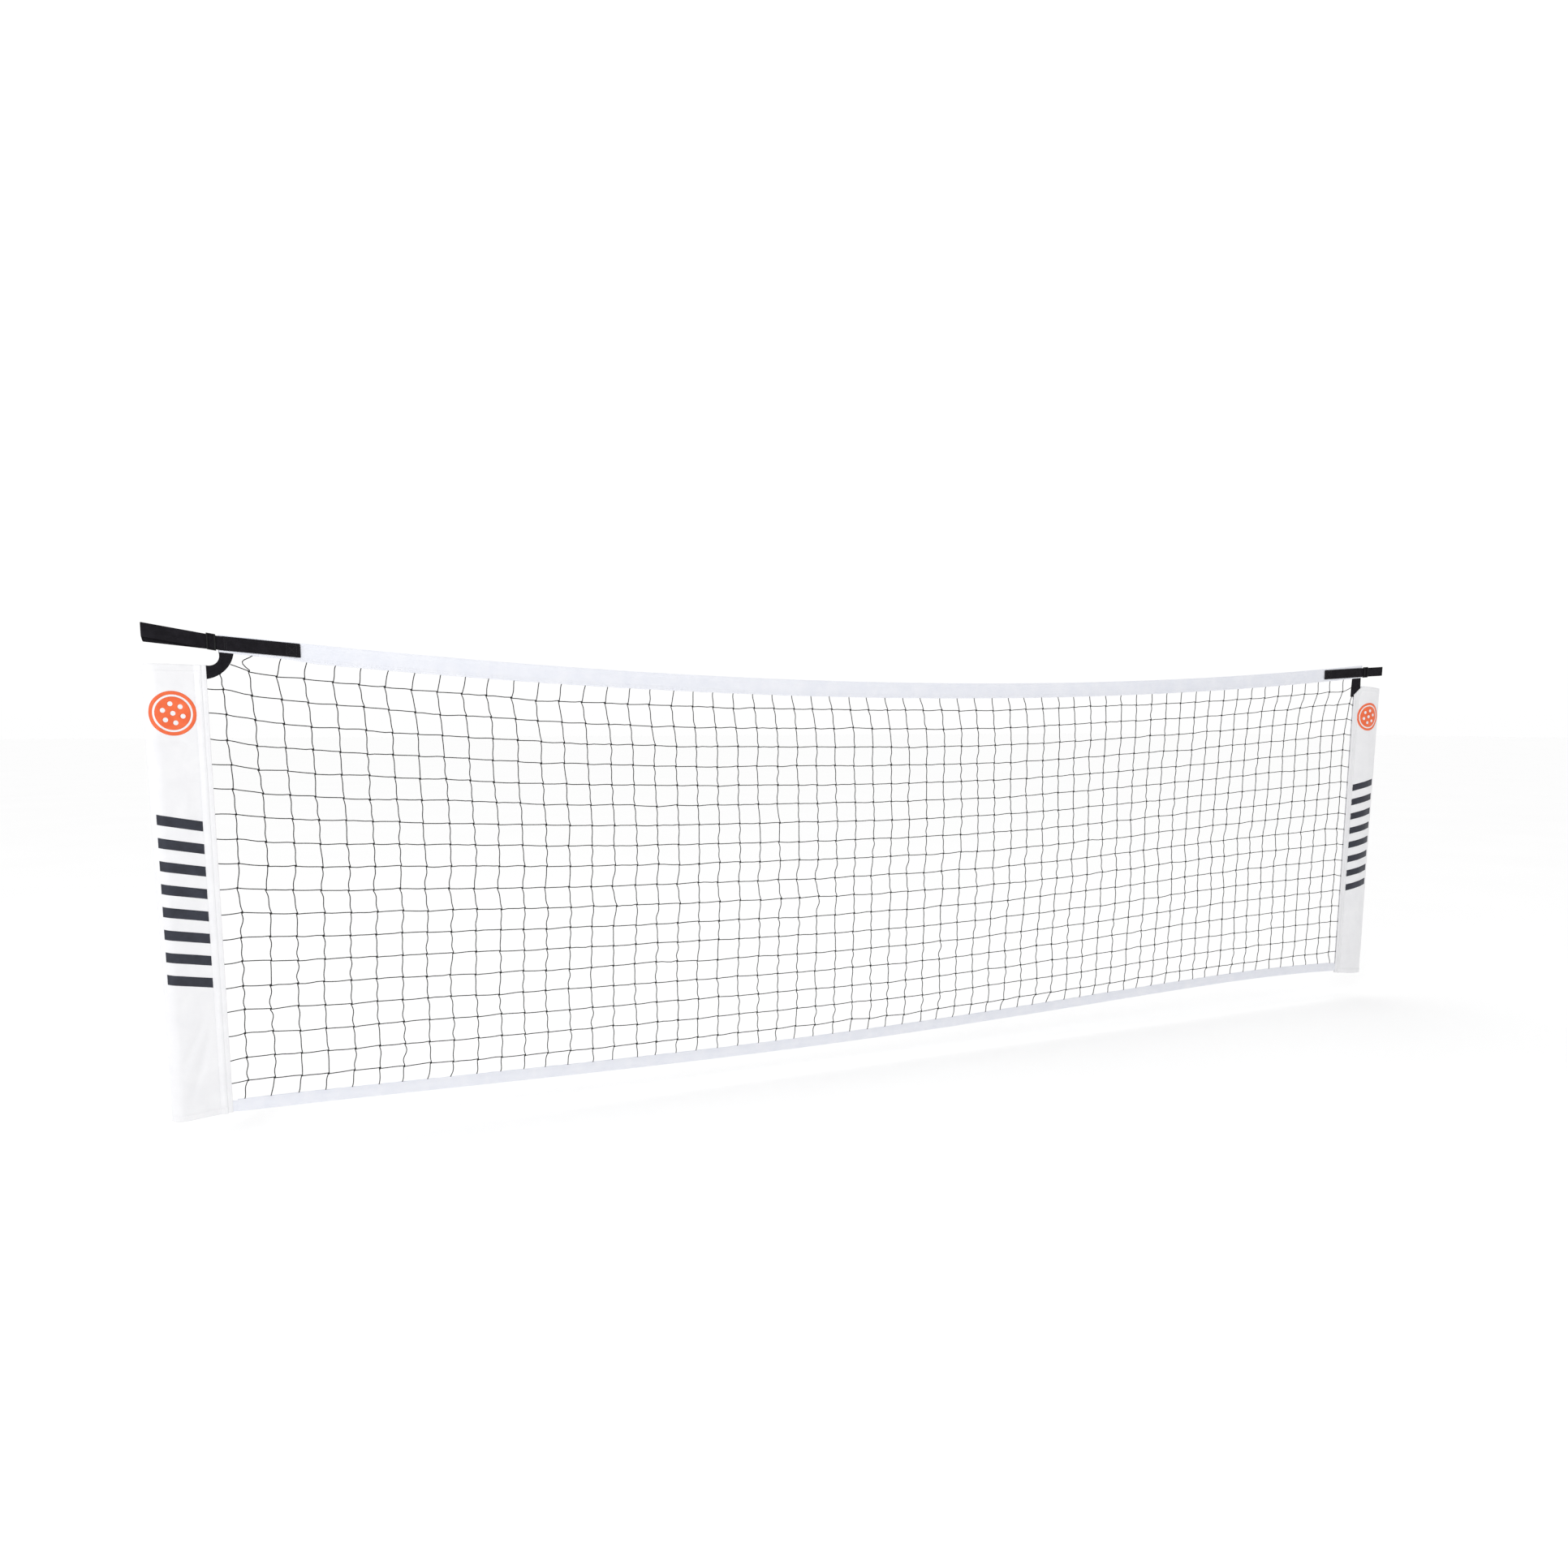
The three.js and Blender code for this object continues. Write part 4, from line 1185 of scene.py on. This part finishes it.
def folded_band(centreline, width, flip_side):
    """A strip folded in half lengthwise along a centreline (n, 2) in x and z, with its fold on the concave
    side and a width at each point. Returns the grid of mid-surface points and the mean unfolded width."""
    line = np.asarray(centreline, float)
    ahead = unit(np.gradient(line, axis=0))
    inward = np.stack([-ahead[:, 1], ahead[:, 0]], axis=1) * flip_side
    bend = np.linspace(-math.pi / 2, math.pi / 2, 7)
    leg = np.linspace(-0.5, 0.5, 21)
    fold = np.cos(bend)[1:-1]
    groove = BINDING_HALF - 0.35 * np.exp(-((leg * 22 - 1.5) / 0.9) ** 2)
    width = np.asarray(width, float)[:, None]
    inside = width - BINDING_HALF
    across = np.concatenate([
        leg * inside - BINDING_HALF / 2,
        width / 2 - BINDING_HALF + BINDING_HALF * fold,
        leg[::-1] * inside - BINDING_HALF / 2,
    ], axis=1)
    y = np.concatenate([-groove, BINDING_HALF * np.sin(bend)[1:-1], groove[::-1]])
    points = xyz(line[:, :1] + inward[:, :1] * across, y, line[:, 1:] + inward[:, 1:] * across)
    return points, np.linalg.norm(np.diff(points, axis=1), axis=2).sum(1).mean()


def add_left_binding():
    high = LEFT_BINDING_HIGH
    outer = high[0] + FOLD_X + 3.5
    centre = np.array([high[0] - outer, high[2]])
    middle = outer - LEFT_BAND_WIDTH / 2
    angle = np.linspace(0.0, -math.pi / 2, 22)
    arc = centre + middle * np.stack([np.cos(angle), np.sin(angle)], axis=1)
    above = np.stack([np.full(4, arc[0, 0]), arc[0, 1] + np.array([9, 6.5, 4, 1.5])], axis=1)
    beyond = np.stack([arc[-1, 0] - np.array([1.5, 3.5, 5.5]), np.full(3, arc[-1, 1])], axis=1)
    line = np.concatenate([above, arc, beyond])
    round_bend = np.clip((np.arange(len(line)) - 4) / (len(arc) - 1), 0, 1)
    width = LEFT_BAND_WIDTH - LEFT_BAND_PINCH * np.sin(math.pi * round_bend)
    finish_binding("left", line, width, -1)


def add_right_binding():
    low, high = RIGHT_BINDING_LOW, RIGHT_BINDING_HIGH
    start = np.array([low[0] + 17, high[2] + 5])
    corner = np.array([low[0] + 16.5, low[2] + 34])
    end = np.array([low[0] + 17.5, low[2] + 2])
    t = np.linspace(0, 1, 24)[:, None]
    line = (1 - t) ** 2 * start + 2 * t * (1 - t) * corner + t**2 * end
    width = np.linspace(RIGHT_BAND_TOP_WIDTH, RIGHT_BAND_FOOT_WIDTH, len(line))
    finish_binding("right", line, width, 1)


def finish_binding(name, line, width, flip_side):
    points, unfolded = folded_band(line, width, flip_side)
    part = shell(points, BINDING_THICKNESS)
    piece = make_piece(f"{name}_corner_webbing", [part], "black_webbing")
    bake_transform(piece)
    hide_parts(f"{name}_corner_binding")


# ------------------------------------------------------------------ straps

WEBBING_WIDTH = 23.6
WEBBING_THICKNESS = 1.4
HALF_WEBBING = WEBBING_WIDTH / 2
DOUBLED_FROM = 7
FOLD_DROP_FROM = 0.6
BACK_LAYER_START = 12
LOOP_BACK_DROP = {LEFT: 0.07, RIGHT: 0.005}
# The sewn box: where it starts and ends from the strap's inner end, its half width and its stitches.
BOX_FROM, BOX_TO, BOX_HALF = 5.5, 22.5, 8.5
BOX_STITCHES = {"pitch": 2.9, "gap": 0.6, "radius": 0.36, "rise": 0.05}


def strap_lie(side, name):
    """Hinge point, inner end as a distance inward, and the slopes of the sewn length and of the loop."""
    hinge = np.array(JOINTS[f"{name}_loop_swing"]["pos_m"]) / MM
    direction = JOINTS[f"{name}_glide_travel"]["axis"]
    low, high = box_mm(f"{name}_strap_anchor")
    length = high[0] - low[0]
    inner = abs((high if side == LEFT else low)[0] - hinge[0])
    return hinge, inner, (high[2] - low[2] - WEBBING_WIDTH) / length, direction[2] / abs(direction[0])


def webbing_thickness(along, across):
    """Ribbed thickness of a strap: thin at its two selvages, thicker where the sewn length is doubled."""
    ribs = 0.13 * np.cos(TAU * across / RIB_PITCH)
    selvage = 0.45 * np.exp(-((HALF_WEBBING - abs(across)) / 0.7) ** 2)
    doubled = 0.55 * smooth_step((-DOUBLED_FROM - along) / 1.4)
    return WEBBING_THICKNESS - 0.2 + doubled + ribs - selvage


def add_strap(side, name):
    """One length of webbing: sewn to the tape, through the slider, round a soft fold and back behind."""
    hinge, inner, sewn_slope, loop_slope = strap_lie(side, name)
    low, high = box_mm(f"{name}_strap_loop")
    front_y = low[1] + WEBBING_THICKNESS / 2
    radius = (high[1] - low[1] - WEBBING_THICKNESS) / 2
    fold_at = abs((low if side == LEFT else high)[0] - hinge[0]) - radius - WEBBING_THICKNESS / 2
    turn = np.linspace(-math.pi / 2, math.pi / 2, 15)[1:-1]
    out = np.concatenate([
        steps_between(-inner, -DOUBLED_FROM - 2, 2.2), steps_between(-DOUBLED_FROM - 1, fold_at, 1.4),
        fold_at + radius * np.cos(turn), steps_between(fold_at, BACK_LAYER_START, 1.6),
    ])
    flat = len(out) - len(turn) - len(steps_between(fold_at, BACK_LAYER_START, 1.6))
    depth = np.full(len(out), 2 * radius)
    depth[:flat] = 0
    depth[flat : flat + len(turn)] = radius + radius * np.sin(turn)
    out, depth = out[:, None], depth[:, None]
    across = np.linspace(-HALF_WEBBING, HALF_WEBBING, 63)

    behind = smooth_step((depth / (2 * radius) - FOLD_DROP_FROM) / (1 - FOLD_DROP_FROM))
    outside = np.maximum(out, 0)
    rise = sewn_slope * np.minimum(out, 0) + (loop_slope - LOOP_BACK_DROP[side] * behind) * outside
    soft = ripples(95 + side, 60)
    bow = 0.3 * smooth_step((out - 22) / 20) * soft(out + 500 * behind, across)
    thick = webbing_thickness(out, across)
    proud = (thick - webbing_thickness(0, across)) / 2
    points = xyz(hinge[0] + side * out, front_y + depth + bow - proud, hinge[2] + rise + across)
    piece = make_piece(f"{name}_webbing", [shell(points, thick)], "black_webbing")
    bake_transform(piece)
    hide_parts(f"{name}_strap_anchor", f"{name}_strap_loop")
    thread = add_strap_seams(side, name, hinge, inner, sewn_slope, front_y)


def add_strap_seams(side, name, hinge, inner, slope, front_y):
    """The box with its diagonals near the strap's inner end, and the seams across it."""

    def face(out, v):
        return xyz(hinge[0] + side * out, front_y - WEBBING_THICKNESS / 2 - 0.3, hinge[2] + slope * out + v)

    place = lifted(face, side)
    near, far = BOX_FROM - inner, BOX_TO - inner
    corners = [(near, -BOX_HALF), (far, -BOX_HALF), (far, BOX_HALF), (near, BOX_HALF)]
    lines = list(zip(corners, corners[1:] + corners[:1]))
    lines += [(corners[0], corners[2]), (corners[1], corners[3])]
    lines += [((out, -10), (out, 10)) for out in (-DOUBLED_FROM - 4, -DOUBLED_FROM - 7, 1.6 - inner)]
    seams = [stitch_line(place, a, b, **BOX_STITCHES) for a, b in lines]
    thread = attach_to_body(make_piece(f"{name}_box_seam", seams, "black_thread"), "net")
    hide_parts(f"{name}_box_stitch")
    return thread


# ------------------------------------------------------------------ sliders

SLIDER_WINDOW = WEBBING_WIDTH + 0.6
SLIDER_RAIL = 2.1
SLIDER_BAR = 3.0
SLIDER_PLATE = 1.9
MIDDLE_BAR_AT = 6.0


def rounded_block(low, high, radius, mesh_builder):
    """Adds a box with rounded edges to a bmesh."""
    low, high = np.array(low), np.array(high)
    made = bmesh.ops.create_cube(mesh_builder, size=1.0)["verts"]
    for v in made:
        v.co = Vector((low + (np.array(v.co) + 0.5) * (high - low)) * MM)
    edges = list({e for v in made for e in v.link_edges})
    bmesh.ops.bevel(mesh_builder, geom=edges, offset=radius * MM, segments=4, profile=0.5, affect="EDGES")


def add_slider(side, name):
    """The moulded slider: two rails, two end bars in front of the webbing and a middle bar behind it."""
    low, high = box_mm(f"{name}_tri_glide")
    hinge, _, _, slope = strap_lie(side, name)
    start, end = sorted((abs(low[0] - hinge[0]), abs(high[0] - hinge[0])))
    front, back = low[1], high[1]
    builder = bmesh.new()
    for z in (SLIDER_WINDOW / 2, -SLIDER_WINDOW / 2 - SLIDER_RAIL):
        rounded_block([start, front, z], [end, back, z + SLIDER_RAIL], 1.15, builder)
    reach = SLIDER_WINDOW / 2 + 1.2
    bars = (start, front), (start + MIDDLE_BAR_AT, back - SLIDER_PLATE), (end - SLIDER_BAR, front)
    for at, y in bars:
        rounded_block([at, y, -reach], [at + SLIDER_BAR, y + SLIDER_PLATE, reach], 0.85, builder)
    for v in builder.verts:
        out, y, z = np.array(v.co) / MM
        v.co = Vector((hinge[0] + side * out, y, hinge[2] + out * slope + z)) * MM
    if side == LEFT:
        bmesh.ops.reverse_faces(builder, faces=builder.faces)
    mesh = bpy.data.meshes.new(f"{name}_slider")
    builder.to_mesh(mesh)
    builder.free()
    mesh.materials.append(MATERIALS["black_plastic"])
    piece = add_object(f"{name}_slider", mesh)
    # One moulding: the overlapping bars are fused and their inner corners filleted.
    fused = piece.modifiers.new("fused", "REMESH")
    fused.mode = "VOXEL"
    fused.voxel_size = 0.3 * MM
    soft = piece.modifiers.new("soft", "SMOOTH")
    soft.factor = 0.5
    soft.iterations = 3
    evaluated = piece.evaluated_get(bpy.context.evaluated_depsgraph_get())
    final = bpy.data.meshes.new_from_object(evaluated)
    piece.modifiers.clear()
    piece.data = final
    final.shade_smooth()
    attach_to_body(piece, f"{name}_slider")
    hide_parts(f"{name}_tri_glide")


# ------------------------------------------------------------------ the whole net


def paint_cords():
    for node_name in ("headline_cord", "foot_cord", "left_side_cord", "right_side_cord"):
        mesh = frame["nodes"][node_name].data
        mesh.materials.clear()
        mesh.materials.append(MATERIALS["border_cord"])


make_camera()
make_world()
make_stage()
paint_cords()
add_knotted_mesh()
add_tapes()
for side, name in SIDES.items():
    add_edge_band(side, name)
    add_sleeve(side, name)
    add_strap(side, name)
    add_slider(side, name)
add_left_binding()
add_right_binding()
